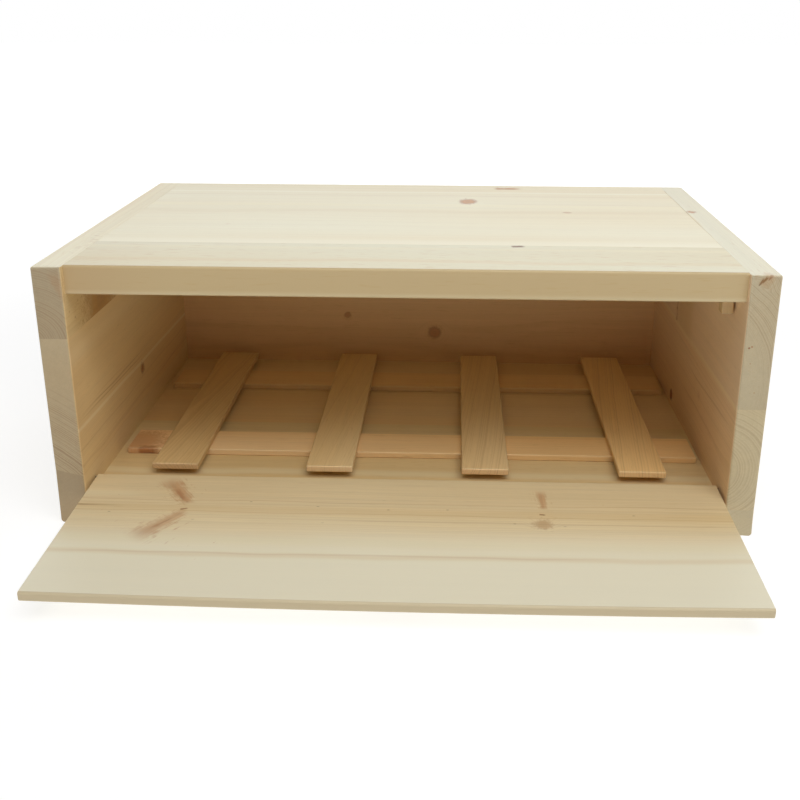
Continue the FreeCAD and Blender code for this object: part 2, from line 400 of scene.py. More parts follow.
class Pattern(Graph):
    """A Geometry Nodes tree that makes a repeated form."""

    KINDS = {"count": "NodeSocketInt", "seed": "NodeSocketInt", "radius": "NodeSocketFloat",
             "material": "NodeSocketMaterial"}

    def __init__(self, name: str, inputs: Sequence[str]) -> None:
        """Makes the tree with its inputs.

        Args:
            name: name of the tree.
            inputs: names of its inputs.
        """
        super().__init__(bpy.data.node_groups.new(name, "GeometryNodeTree"))
        for asked in inputs:
            kind = self.KINDS.get(asked, "NodeSocketVector")
            self.tree.interface.new_socket(asked, in_out="INPUT", socket_type=kind)
        self.tree.interface.new_socket("Geometry", in_out="OUTPUT", socket_type="NodeSocketGeometry")
        self.asked = self.node("NodeGroupInput", {}, {}).outputs

    def kept(self, geometry: bpy.types.NodeSocket, name: str, kind: str, domain: str,
             value: Any) -> bpy.types.NodeSocket:
        """Stores a named attribute.

        Args:
            geometry: what it is stored on.
            name: its name.
            kind: its data type.
            domain: what each value belongs to, such as a point.
            value: the link that it comes from.

        Returns:
            The geometry with it.
        """
        node = self.node("GeometryNodeStoreNamedAttribute", {"data_type": kind, "domain": domain},
                         {"Geometry": geometry, "Name": name, "Value": value})
        return node.outputs[0]

    def finish(self, geometry: bpy.types.NodeSocket) -> None:
        """Ends the tree: copies made real, then given the asked material.

        Args:
            geometry: what it makes.
        """
        real = self.node("GeometryNodeRealizeInstances", {}, {0: geometry}).outputs[0]
        inputs = {"Geometry": real, "Material": self.asked["material"]}
        clad = self.node("GeometryNodeSetMaterial", {}, inputs)
        self.node("NodeGroupOutput", {}, {0: clad.outputs[0]})

    def grow(self, name: str, values: Mapping[str, Any]) -> bpy.types.Mesh:
        """Makes the mesh.

        Args:
            name: name of the mesh.
            values: a value for each of the tree's inputs.

        Returns:
            The plain mesh, with no modifier left.
        """
        seedling = bpy.data.objects.new(name, bpy.data.meshes.new(name))
        bpy.context.scene.collection.objects.link(seedling)
        modifier = seedling.modifiers.new("pattern", "NODES")
        modifier.node_group = self.tree
        for item in self.tree.interface.items_tree:
            if item.in_out == "INPUT":
                modifier[item.identifier] = values[item.name]
        seedling.data.update()
        graph = bpy.context.evaluated_depsgraph_get()
        mesh = bpy.data.meshes.new_from_object(seedling.evaluated_get(graph), depsgraph=graph,
                                               preserve_all_data_layers=True)
        bpy.data.objects.remove(seedling)
        return mesh


# --- Timber ---------------------------------------------------------------------------------------


class Grain(Enum):
    """Which way the fibres run: the axis along them and the two across, as x, y and z indices."""

    X = (0, 1, 2)
    Y = (1, 0, 2)
    Z = (2, 0, 1)

    def direction(self) -> Triple:
        """Unit vector along the fibres."""
        return tuple(1.0 if i == self.value[0] else 0.0 for i in range(3))

    def stretch(self, along: float, across: float) -> Triple:
        """Frequencies along each axis, in waves to the metre."""
        return tuple(along if i == self.value[0] else across for i in range(3))


@dataclass(frozen=True)
class Knot:
    """A branch grown into the board: a cone about an axis, and the rings that bulge round it."""

    at: Triple                    # a point on its axis
    toward: Triple                # along its axis, outwards from the pith
    radius: float                 # at that point
    taper: float = 0.0            # growth of the radius to each metre outwards
    reach: Pair | None = None     # where along the axis it starts and ends; None goes right through
    depth: float = 0.6            # strength of its colour
    dark: float = 0.3             # share of the dark rim colour
    swirl: float = 2.4            # radius of the bulged rings, in knot radii
    bulge: float = 0.003          # how far the rings are pushed
    feather: float = 0.0          # 0 has a clear outline, 1 fades from its middle in streaks along its axis
    tone: Triple | None = None    # its colour; None is the wood's usual one


@dataclass(frozen=True)
class Band:
    """A streak along the grain: a growth line, a pitch streak or a wider zone of another tone."""

    across: int                   # 0 or 1: which of the two axes across the grain it is placed on
    place: float
    width: float                  # half its width, to where it has faded out
    tone: Triple
    amount: float = 0.5
    slope: float = 0.0            # drift to each metre along the grain
    wave: float = 0.0             # how far it wanders from a straight line
    span: Pair | None = None      # start and end along the grain; None is the whole board
    fade: float = 0.02            # length over which its ends fade
    core: float = 0.1             # share of its width at full strength


@dataclass(frozen=True)
class Slat:
    """One slat of a row: its tints, which above 1 are painted light on slats in shade, and how far off in the
    log it was cut.
    """

    tint: Triple
    end_tint: Triple
    shift: Triple


@dataclass(frozen=True)
class Timber:
    """Where a board lay in its log, and what grew in it."""

    grain: Grain
    pith: Pair                    # its place on the two axes across the grain
    lean: Pair = (0.0, 0.0)       # drift of the pith to each metre along the grain
    ring: float = 0.0016          # width of the growth rings 10 mm from the pith
    crowding: float = 1.0         # above 1 the rings narrow outwards
    contrast: float = 0.25        # of the growth rings on end grain
    face_share: float = 0.5       # contrast of the rings on long-grain faces, of that on end grain
    calm: Pair = (0.2, 0.4)       # distances from the pith between which the rings fade
    warmth: float = 0.35          # 0 is pale sapwood, 1 is golden heartwood
    tint: Triple = (1.0, 1.0, 1.0)            # of the long-grain faces
    inward: Triple | None = None              # which way the board faces the inside of the box
    # the inner tint below is painted shade: warm bounced light and shade on the face inside the box
    inside_shade_tint: Triple = (1.0, 1.0, 1.0)      # of the face on that side
    outer_tint: Triple = (1.0, 0.93, 0.80)    # of the face on the other side
    end_tint: Triple = (0.66, 0.66, 0.65)     # of the end grain
    rear_tint: Triple = (0.72, 0.64, 0.52)    # of a side's end grain at the rear
    wander: float = 0.003         # how far the rings wander along the board
    streaks: float = 0.6          # strength of the fine lines along the fibres
    flecks: float = 0.15          # strength of the short dark dashes
    specks: float = 0.0           # strength of the scattered dark dots
    speck_zone: Pair = (-1.0, 1.0)            # the strip they lie in, on the first axis across the grain
    knots: tuple[Knot, ...] = ()
    bands: tuple[Band, ...] = ()
    slats: tuple[Slat, ...] = ()     # of a mesh that holds a row of them


@dataclass(frozen=True)
class KnotFigure:
    """How a knot shows: a ragged outline, a dark rim, rings and fibres."""

    ragged_waves: Triple = (260.0, 260.0, 260.0)
    fibre_waves: Pair = (800.0, 60.0)     # to the metre across its axis, and in every direction
    least_radius: float = 0.3 * MM
    raggedness: float = 0.7
    outline: Pair = (1.25, 0.6)           # shares of the radius between which it comes in
    spread: float = 0.45                  # how much further out a feathered one starts
    soft_share: float = 0.35              # of its length, over which its ends fade
    ring_turn: float = 11.0               # radians of the rings' wave to each radius
    ring_tone: float = 0.25
    rim: Pair = (0.5, 0.95)               # shares of the radius between which the rim darkens
    rim_least: float = 0.7
    fibre_level: Pair = (0.5, 0.68)       # of the noise, where dark fibres start and are full
    fibre_tone: float = 0.4

    def masks(self, tree: Surface, place: Arrow, knot: Knot) -> tuple[Number, Number, Number]:
        """Masks of one knot.

        Args:
            tree: the material being built.
            place: the point on the board.
            knot: the knot.

        Returns:
            Its inside, its dark rim, and the halo where the rings bulge.
        """
        axis = tuple(Vector(knot.toward).normalized())
        offset = place - knot.at
        along = offset.dot(axis)
        side = offset.cross(axis)
        away = side.length()
        rough = tree.noise(place * self.ragged_waves, 2.0)
        across, around = self.fibre_waves
        fibre = tree.noise(side.scaled(across) + offset.scaled(around), 3.0, 0.6)
        radius = (along * knot.taper + knot.radius).at_least(self.least_radius)
        ragged = rough - 0.5 + (fibre - 0.5) * (1 + knot.feather)
        share = away / radius * (1 + ragged * (self.raggedness + knot.feather))
        outer, inner = self.outline
        inside = share.ease(outer + self.spread * knot.feather, inner - inner * knot.feather)
        halo = away.ease(knot.radius * knot.swirl, knot.radius / 2)
        if knot.reach is not None:
            start, end = knot.reach
            soft = (end - start) * self.soft_share
            window = along.ease(start, start + soft / 2) * along.ease(end, end - soft)
            inside = inside * window
            halo = halo * window
        rings = (share * self.ring_turn).sine() * self.ring_tone + self.ring_tone
        rim = (share.ease(*self.rim) * (1 - knot.feather) + rings) * (self.rim_least + rough)
        rim = rim + fibre.ease(*self.fibre_level) * (self.fibre_tone + knot.feather)
        return inside, rim, halo


@dataclass(frozen=True)
class PlanedPine:
    """Bare planed pine."""

    sapwood: Triple = srgb(236, 232, 206)
    heartwood: Triple = srgb(220, 190, 134)
    latewood: Triple = srgb(182, 138, 84)
    knot: Triple = srgb(182, 116, 64)
    knot_rim: Triple = srgb(98, 54, 28)
    end_latewood: Triple = srgb(142, 108, 72)
    arris: Triple = srgb(244, 236, 206)   # of the cut fibres on eased edges
    roughness: float = 0.52
    specular: float = 0.5
    figure: KnotFigure = KnotFigure()
    lots: int = 89                # how many places in the noise a board can have
    lot_step: Triple = (0.31, 0.17, 0.23)
    # Growth rings.
    first_ring: float = 0.010     # distance from the pith at which ring widths are given
    shiver_share: float = 0.35    # of the wander that is quick
    second_sway: Triple = (7.0, 3.0, 5.0)     # where in the noise the other axis sways
    uneven: tuple[Pair, ...] = ((70, 1.1), (240, 1.6))   # waves to the metre, and their size in rings
    late_start: Pair = (0.2, 0.9)  # shares of a ring's width between which latewood comes
    late_end: Pair = (1.0, 0.93)   # and goes
    faint_ring: float = 0.15      # strength of the faintest
    # Waves to the metre along and across the grain.
    fibre_waves: Pair = (16, 850)
    thread_waves: Pair = (5, 230)
    fleck_waves: Pair = (75, 1000)
    drift_waves: Pair = (2.5, 16)
    pore_waves: Pair = (300, 2600)
    sway_waves: Pair = (4.5, 13)
    shiver_waves: Pair = (24, 70)
    speck_waves: Pair = (26, 70)
    wear_waves: Triple = (60.0, 60.0, 60.0)
    band_waves: float = 9.0       # along the grain
    band_shift: float = 500.0     # to each metre across, so that no two bands wander alike
    # Values between which a mask eases in.
    slat_match: Pair = (0.6, 0.4)     # of a slat's number from the one looked for
    end_facing: Pair = (0.45, 0.85)   # of how squarely a face looks along the fibres
    side_facing: Pair = (0.3, 0.7)    # of how squarely it looks into the box, out of it or rearwards
    fleck_level: Pair = (0.62, 0.74)
    speck_edge: Pair = (0.036, 0.008)
    speck_chance: Pair = (0.50, 0.54)
    speck_soft: float = 0.2       # share of their strip over which they thin out at its edges
    # How deep each shows in the colour.
    drift_warmth: float = 0.7
    line_tone: float = 0.20
    pore_tone: float = 0.24
    arris_tone: float = 0.07
    # How much duller or glossier each is.
    late_gloss: float = 0.06
    end_dull: float = 0.12
    gum_gloss: float = 0.03
    fibre_dull: float = 0.16
    arris_gloss: float = 0.05
    # Heights of the relief, in metres.
    ring_height: float = 14 * MICRON
    fibre_height: float = 20 * MICRON
    thread_height: float = 18 * MICRON
    pore_height: float = 40 * MICRON
    wear_height: float = 120 * MICRON

    def material(self, name: str, timber: Timber) -> bpy.types.Material:
        """Builds the material of one board.

        Args:
            name: name of the material.
            timber: the board's place in its log.

        Returns:
            The material.
        """
        tree = Surface(name)
        grain = timber.grain
        here = tree.place()
        chosen = [abs(tree.painted(SLAT_NUMBER) - number).ease(*self.slat_match)
                  for number in range(len(timber.slats))]
        place = here + tree.drawn(LOG_SHIFT) if timber.slats else here
        for slat, mask in zip(timber.slats, chosen):
            place = place + tree.scaled(slat.shift, mask)
        lot = zlib.crc32(name.encode()) % self.lots
        field = place + tuple(lot * step for step in self.lot_step)
        end = abs(tree.facing().dot(grain.direction())).ease(*self.end_facing)
        knots = [self.figure.masks(tree, here, knot) for knot in timber.knots]
        rings = self._rings(tree, place, field, timber, knots)
        late = rings * (end * (1 - timber.face_share) + timber.face_share)
        fibre = tree.noise(field * grain.stretch(*self.fibre_waves), 3.0, 0.6)
        thread = tree.noise(field * grain.stretch(*self.thread_waves), 2.0, 0.55)
        pores = tree.noise(field * grain.stretch(*self.pore_waves), 2.0)

        wood = self._ground(tree, field, timber, chosen, end)
        line = tree.mix(end, self.latewood, self.end_latewood)
        wood = wood.mixed(line, late * timber.contrast)
        lines = (fibre - 0.5) * self.line_tone + (thread - 0.5) * self.line_tone
        wood = wood.scaled(1 + lines * timber.streaks)
        wood = self._marked(tree, wood, here, field, timber, end)
        wood = wood.scaled(1 + (pores - 0.5) * end * self.pore_tone)
        gum = 0.0
        for knot, (inside, rim, _halo) in zip(timber.knots, knots):
            heart = tree.mix(rim * knot.dark, knot.tone or self.knot, self.knot_rim)
            wood = wood.mixed(heart, inside * knot.depth)
            gum = inside + gum

        edge = tree.painted(EASED)
        wood = wood.mixed(self.arris, edge * self.arris_tone)
        worn = tree.noise(place * self.wear_waves, 2.0)
        relief = (late * self.ring_height + fibre * self.fibre_height + thread * self.thread_height
                  + pores * end * self.pore_height + worn * edge * self.wear_height)
        rough = (self.roughness - late * self.late_gloss + end * self.end_dull - gum * self.gum_gloss
                 + (fibre - 0.5) * self.fibre_dull - edge * self.arris_gloss)
        return tree.finish({"Base Color": wood, "Roughness": rough, "Normal": tree.bump(relief),
                            "Specular IOR Level": self.specular})

    def _ground(self, tree: Surface, field: Arrow, timber: Timber, chosen: Sequence[Number],
                end: Number) -> Arrow:
        """Colour of the plain wood, tinted by which way each face looks, with painted warm shade on the faces
        inside the box.

        Args:
            tree: the material being built.
            field: the point in the log, moved to a noise of its own.
            timber: the board.
            chosen: a mask for each of its slats.
            end: how far a face is end grain.

        Returns:
            The colour.
        """
        drift = tree.noise(field * timber.grain.stretch(*self.drift_waves), 1.0)
        warm = (drift - 0.5) * self.drift_warmth + timber.warmth
        plain = tree.mix(warm, self.sapwood, self.heartwood)
        side = plain * timber.tint
        cut = plain * timber.end_tint
        if timber.inward:
            inward = tree.facing().dot(timber.inward)
            start, full = self.side_facing
            # faces that look into the box get painted warm shade
            side = side.mixed(plain * timber.inside_shade_tint, inward.ease(start, full))
            side = side.mixed(plain * timber.outer_tint, inward.ease(-start, -full))
            cut = cut.mixed(plain * timber.rear_tint, tree.facing().dot(REARWARD).ease(start, full))
        # slat tints above 1 are painted light on slats that lie in shade
        for slat, mask in zip(timber.slats, chosen):
            side = side.mixed(plain * slat.tint, mask)
            cut = cut.mixed(plain * slat.end_tint, mask)
        return side.mixed(cut, end)

    def _marked(self, tree: Surface, wood: Arrow, here: Arrow, field: Arrow, timber: Timber,
                end: Number) -> Arrow:
        """The wood with its flecks, bands and specks.

        Args:
            tree: the material being built.
            wood: its colour without them.
            here: the point on the board.
            field: the point in the log, moved to a noise of its own.
            timber: the board.
            end: how far a face is end grain, where no band shows.

        Returns:
            The colour.
        """
        fleck = tree.noise(field * timber.grain.stretch(*self.fleck_waves), 1.0).ease(*self.fleck_level)
        wood = wood.mixed(self.latewood, fleck * timber.flecks)
        for band in timber.bands:
            wood = wood.mixed(band.tone, self._band(tree, here, timber.grain, band) * (1 - end))
        if timber.specks:
            wood = wood.mixed(self.knot_rim, self._specks(tree, here, field, timber))
        return wood

    def _rings(self, tree: Surface, place: Arrow, field: Arrow, timber: Timber,
               knots: Sequence[tuple[Number, Number, Number]]) -> Number:
        """How far into the latewood of its growth ring a point lies.

        Args:
            tree: the material being built.
            place: the point in the log.
            field: the same, moved to a noise of its own.
            timber: the board.
            knots: masks of its knots, whose halos bend the rings.

        Returns:
            A share from 0 to 1.
        """
        parts = place.parts()
        along, first, second = (parts[i] for i in timber.grain.value)
        slow = field * timber.grain.stretch(*self.sway_waves)
        quick = field * timber.grain.stretch(*self.shiver_waves)
        shiver = (tree.noise(quick, 1.0) - 0.5) * (timber.wander * self.shiver_share)
        sways = [(tree.noise(noise_place, 1.0) - 0.5) * (timber.wander * 2)
                 for noise_place in (slow, slow + self.second_sway)]
        offsets = [axis - pith - along * lean + sway + shiver
                   for axis, pith, lean, sway in zip((first, second), timber.pith, timber.lean, sways)]
        radius = (offsets[0] * offsets[0] + offsets[1] * offsets[1]) ** 0.5
        for knot, (_inside, _rim, halo) in zip(timber.knots, knots):
            radius = radius - halo * knot.bulge
        radius = radius.at_least(0.0)
        scale = self.first_ring / timber.ring / timber.crowding
        count = (radius / self.first_ring) ** timber.crowding * scale
        for waves, size in self.uneven:
            count = count + (tree.line_noise(radius * waves) - 0.5) * size
        share = count.rest()
        ramp = share.ease(*self.late_start) * share.ease(*self.late_end)
        strength = tree.dice(count.whole()) * (1 - self.faint_ring) + self.faint_ring
        return ramp * strength * radius.ease(timber.calm[1], timber.calm[0])

    def _band(self, tree: Surface, place: Arrow, grain: Grain, band: Band) -> Number:
        """Mask of one band.

        Args:
            tree: the material being built.
            place: the point on the board.
            grain: which way the fibres run.
            band: the band.

        Returns:
            The mask times its amount.
        """
        parts = place.parts()
        along = parts[grain.value[0]]
        across = parts[grain.value[1 + band.across]]
        line = across - band.place - along * band.slope
        if band.wave:
            noise = tree.line_noise(along * self.band_waves + band.place * self.band_shift, 2.0)
            line = line + (noise - 0.5) * (2 * band.wave)
        mask = abs(line).ease(band.width, band.width * band.core) * band.amount
        if band.span is not None:
            start, end = band.span
            mask = mask * along.ease(start, start + band.fade) * along.ease(end, end - band.fade)
        return mask

    def _specks(self, tree: Surface, here: Arrow, field: Arrow, timber: Timber) -> Number:
        """Mask of the scattered dark dots.

        Args:
            tree: the material being built.
            here: the point on the board.
            field: the same, moved to a noise of its own.
            timber: the board.

        Returns:
            The mask times its strength.
        """
        cells = tree.node("ShaderNodeTexVoronoi", {"voronoi_dimensions": "2D"}, {
            "Vector": field * timber.grain.stretch(*self.speck_waves), "Scale": 1.0, "Randomness": 1.0})
        near = Number(tree, cells.outputs["Distance"]).ease(*self.speck_edge)
        chosen = Arrow(tree, cells.outputs["Color"]).parts()[0].ease(*self.speck_chance)
        start, end = timber.speck_zone
        soft = (end - start) * self.speck_soft
        across = here.parts()[timber.grain.value[1]]
        zone = across.ease(start, start + soft) * across.ease(end, end - soft)
        return near * chosen * zone * timber.specks


@dataclass(frozen=True)
class TurnedBeech:
    """Smooth turned hardwood with short ray flecks."""

    light: Triple = srgb(222, 184, 142)
    deep: Triple = srgb(196, 150, 106)
    fleck: Triple = srgb(160, 110, 72)
    roughness: float = 0.42
    specular: float = 0.45
    cloud_waves: Pair = (30, 160)       # to the metre along and across the grain
    fibre_waves: Pair = (60, 2200)
    ray_waves: Pair = (420, 2600)
    ray_level: Pair = (0.66, 0.76)      # of the noise, where ray flecks start and are full
    ray_tone: float = 0.55
    fibre_tone: float = 0.2
    fibre_dull: float = 0.14
    fibre_height: float = 12 * MICRON
    ray_height: float = 8 * MICRON

    def material(self, name: str, grain: Grain) -> bpy.types.Material:
        """Builds the material.

        Args:
            name: name of the material.
            grain: which way its fibres run.

        Returns:
            The material.
        """
        tree = Surface(name)
        place = tree.place()
        cloud = tree.noise(place * grain.stretch(*self.cloud_waves), 3.0)
        fibre = tree.noise(place * grain.stretch(*self.fibre_waves), 2.0)
        ray = tree.noise(place * grain.stretch(*self.ray_waves), 1.0).ease(*self.ray_level)
        wood = tree.mix(cloud, self.light, self.deep).mixed(self.fleck, ray * self.ray_tone)
        wood = wood.scaled(1 + (fibre - 0.5) * self.fibre_tone)
        relief = fibre * self.fibre_height + ray * self.ray_height
        rough = self.roughness + (fibre - 0.5) * self.fibre_dull
        return tree.finish({"Base Color": wood, "Roughness": rough, "Normal": tree.bump(relief),
                            "Specular IOR Level": self.specular})


@dataclass(frozen=True)
class DrawnSteel:
    """Browned steel wire with fine lines along it."""

    colour: Triple = (0.19, 0.14, 0.09)
    stain: Triple = (0.10, 0.06, 0.03)
    roughness: float = 0.48
    line_waves: Pair = (90, 9000)       # to the metre along and across the lines
    stain_waves: Triple = (700.0, 700.0, 700.0)
    stain_level: Pair = (0.45, 0.8)     # of the noise, where stains start and are full
    stain_share: float = 0.5
    stain_dull: float = 0.08
    line_dull: float = 0.25
    line_height: float = 4 * MICRON

    def material(self, name: str, grain: Grain) -> bpy.types.Material:
        """Builds the material.

        Args:
            name: name of the material.
            grain: which way its lines run.

        Returns:
            The material.
        """
        tree = Surface(name)
        place = tree.place()
        line = tree.noise(place * grain.stretch(*self.line_waves), 2.0)
        cloud = tree.noise(place * self.stain_waves, 3.0)
        metal = tree.mix(cloud.ease(*self.stain_level) * self.stain_share, self.colour, self.stain)
        rough = self.roughness + (line - 0.5) * self.line_dull + cloud * self.stain_dull
        return tree.finish({"Base Color": metal, "Metallic": 1.0, "Roughness": rough,
                            "Normal": tree.bump(line * self.line_height)})


# --- Meshes -----------------------------------------------------------------------------------------


@dataclass(frozen=True)
class Easing:
    """A rounding of the edges that lie at some places, each a dict of axis index to value."""

    radius: float
    places: tuple[Mapping[int, float], ...]
    steps: int = 5

    def apply(self, body: bmesh.types.BMesh) -> None:
        """Rounds the edges of a mesh.

        Args:
            body: the mesh.
        """
        edges = [edge for edge in body.edges if any(self._lies_at(edge, place) for place in self.places)]
        if edges:
            bmesh.ops.bevel(body, geom=edges, offset=self.radius, offset_type="OFFSET", profile=0.5,
                            segments=self.steps, affect="EDGES", clamp_overlap=False)

    @staticmethod
    def _lies_at(edge: bmesh.types.BMEdge, place: Mapping[int, float]) -> bool:
        """Whether both ends of an edge lie at a place."""
        return all(abs(corner.co[axis] - value) < SAME_PLACE
                   for corner in edge.verts for axis, value in place.items())


def block(low: Sequence[float], high: Sequence[float]) -> bmesh.types.BMesh:
    """Mesh of a box.

    Args:
        low: its low corner.
        high: its high corner.

    Returns:
        The mesh.
    """
    body = bmesh.new()
    size = Vector(high) - Vector(low)
    centre = (Vector(high) + Vector(low)) / 2
    bmesh.ops.create_cube(body, size=1.0, matrix=Matrix.Translation(centre) @ Matrix.Diagonal((*size, 1)))
    return body


def mark_easing(body: bmesh.types.BMesh) -> None:
    """Marks the corners off the large flat faces, where the finish shows eased edges.

    Args:
        body: the mesh.
    """
    layer = body.verts.layers.float.new(EASED)
    largest = max(face.calc_area() for face in body.faces)
    flat = {corner for face in body.faces if face.calc_area() > largest * LARGE_FACE for corner in face.verts}
    for corner in body.verts:
        corner[layer] = 0.0 if corner in flat else 1.0


def finished(name: str, mesh: bpy.types.Mesh, cutters: Iterable[bpy.types.Object] = ()) -> bpy.types.Object:
    """Turns a mesh into a piece: bored by the cutters, shaded smooth, with its flat faces kept flat.

    Args:
        name: name of the piece.
        mesh: its mesh, in the model's frame.
        cutters: closed solids that are taken out of it, and then deleted.

    Returns:
        The piece, at the origin, with no modifiers left.
    """
    rough = bpy.data.objects.new(name + "_rough", mesh)
    bpy.context.scene.collection.objects.link(rough)
    cutters = list(cutters)
    for cutter in cutters:
        bore = rough.modifiers.new("bore", "BOOLEAN")
        bore.operation = "DIFFERENCE"
        bore.solver = "EXACT"
        bore.object = cutter
    mesh.shade_smooth()
    mesh.set_sharp_from_angle(angle=math.radians(SMOOTH_DEG))
    weighted = rough.modifiers.new("flat_faces", "WEIGHTED_NORMAL")
    weighted.keep_sharp = True
    weighted.weight = FLAT_WEIGHT
    graph = bpy.context.evaluated_depsgraph_get()
    final = bpy.data.meshes.new_from_object(rough.evaluated_get(graph), depsgraph=graph,
                                            preserve_all_data_layers=True)
    for spare in (rough, *cutters):
        bpy.data.objects.remove(spare)
    piece = bpy.data.objects.new(name, final)
    bpy.context.scene.collection.objects.link(piece)
    final.name = name
    return piece


def mesh_of(name: str, body: bmesh.types.BMesh) -> bpy.types.Mesh:
    """Mesh data of a bmesh, which is freed.

    Args:
        name: name of the data.
        body: the bmesh.

    Returns:
        The data, with its faces outwards.
    """
    bmesh.ops.recalc_face_normals(body, faces=body.faces)
    mesh = bpy.data.meshes.new(name)
    body.to_mesh(mesh)
    body.free()
    return mesh


def rod(start: Triple, end: Triple, radius: float) -> bpy.types.Object:
    """Plain rod, for boring.

    Args:
        start: the middle of one end.
        end: the middle of the other.
        radius: its radius.

    Returns:
        The rod as an object.
    """
    body = bmesh.new()
    line = Vector(end) - Vector(start)
    turn = line.to_track_quat("Z", "Y").to_matrix().to_4x4()
    middle = Matrix.Translation((Vector(start) + Vector(end)) / 2)
    bmesh.ops.create_cone(body, cap_ends=True, segments=BORE_SIDES, radius1=radius, radius2=radius,
                          depth=line.length, matrix=middle @ turn)
    cutter = bpy.data.objects.new("cutter", mesh_of("cutter", body))
    bpy.context.scene.collection.objects.link(cutter)
    return cutter


def settle(piece: bpy.types.Object, body: str, nodes: Sequence[str]) -> None:
    """Puts a piece on its body in place of its nodes, and reports it.

    Args:
        piece: the piece.
        body: the body that it rides.
        nodes: the nodes that it replaces.
    """
    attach(piece, body)
    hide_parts(*nodes)
    LOG.info("%s: %d faces, on %s", piece.name, len(piece.data.polygons), body)


def dress_with(piece: bpy.types.Object, material: bpy.types.Material) -> None:
    """Gives a piece or a node one material all over.

    Args:
        piece: the piece or node.
        material: the material.
    """
    if not piece.data.materials:
        piece.data.materials.append(material)
    for slot in piece.material_slots:
        slot.material = material


# --- Carcass ----------------------------------------------------------------------------------------


@dataclass(frozen=True)
class Board:
    """One board of the carcass, shaped to its node's box."""

    node: str
    timber: Timber
    easings: tuple[Easing, ...]
    bores: tuple[Bore, ...] = ()
    seam: Mapping[int, float] | None = None   # the edge where a glue line that isn't level comes out
    seam_rise: float = 0.0

    def build(self) -> bpy.types.Object:
        """Makes the board's mesh.

        Returns:
            The board as a piece.
        """
        low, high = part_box(self.node)
        body = block(low, high)
        for corner in body.verts if self.seam else ():
            if all(abs(corner.co[axis] - value) < SAME_PLACE for axis, value in self.seam.items()):
                corner.co.z += self.seam_rise
        for easing in self.easings:
            easing.apply(body)
        mark_easing(body)
        cutters = [rod(*bore) for bore in self.bores]
        return finished(self.node + "_planed", mesh_of(self.node, body), cutters)

    def dress(self, piece: bpy.types.Object, pine: PlanedPine) -> None:
        """Gives the board its wood and its place on the carcass."""
        dress_with(piece, pine.material("pine_" + self.node, self.timber))
        settle(piece, "carcass", [self.node])


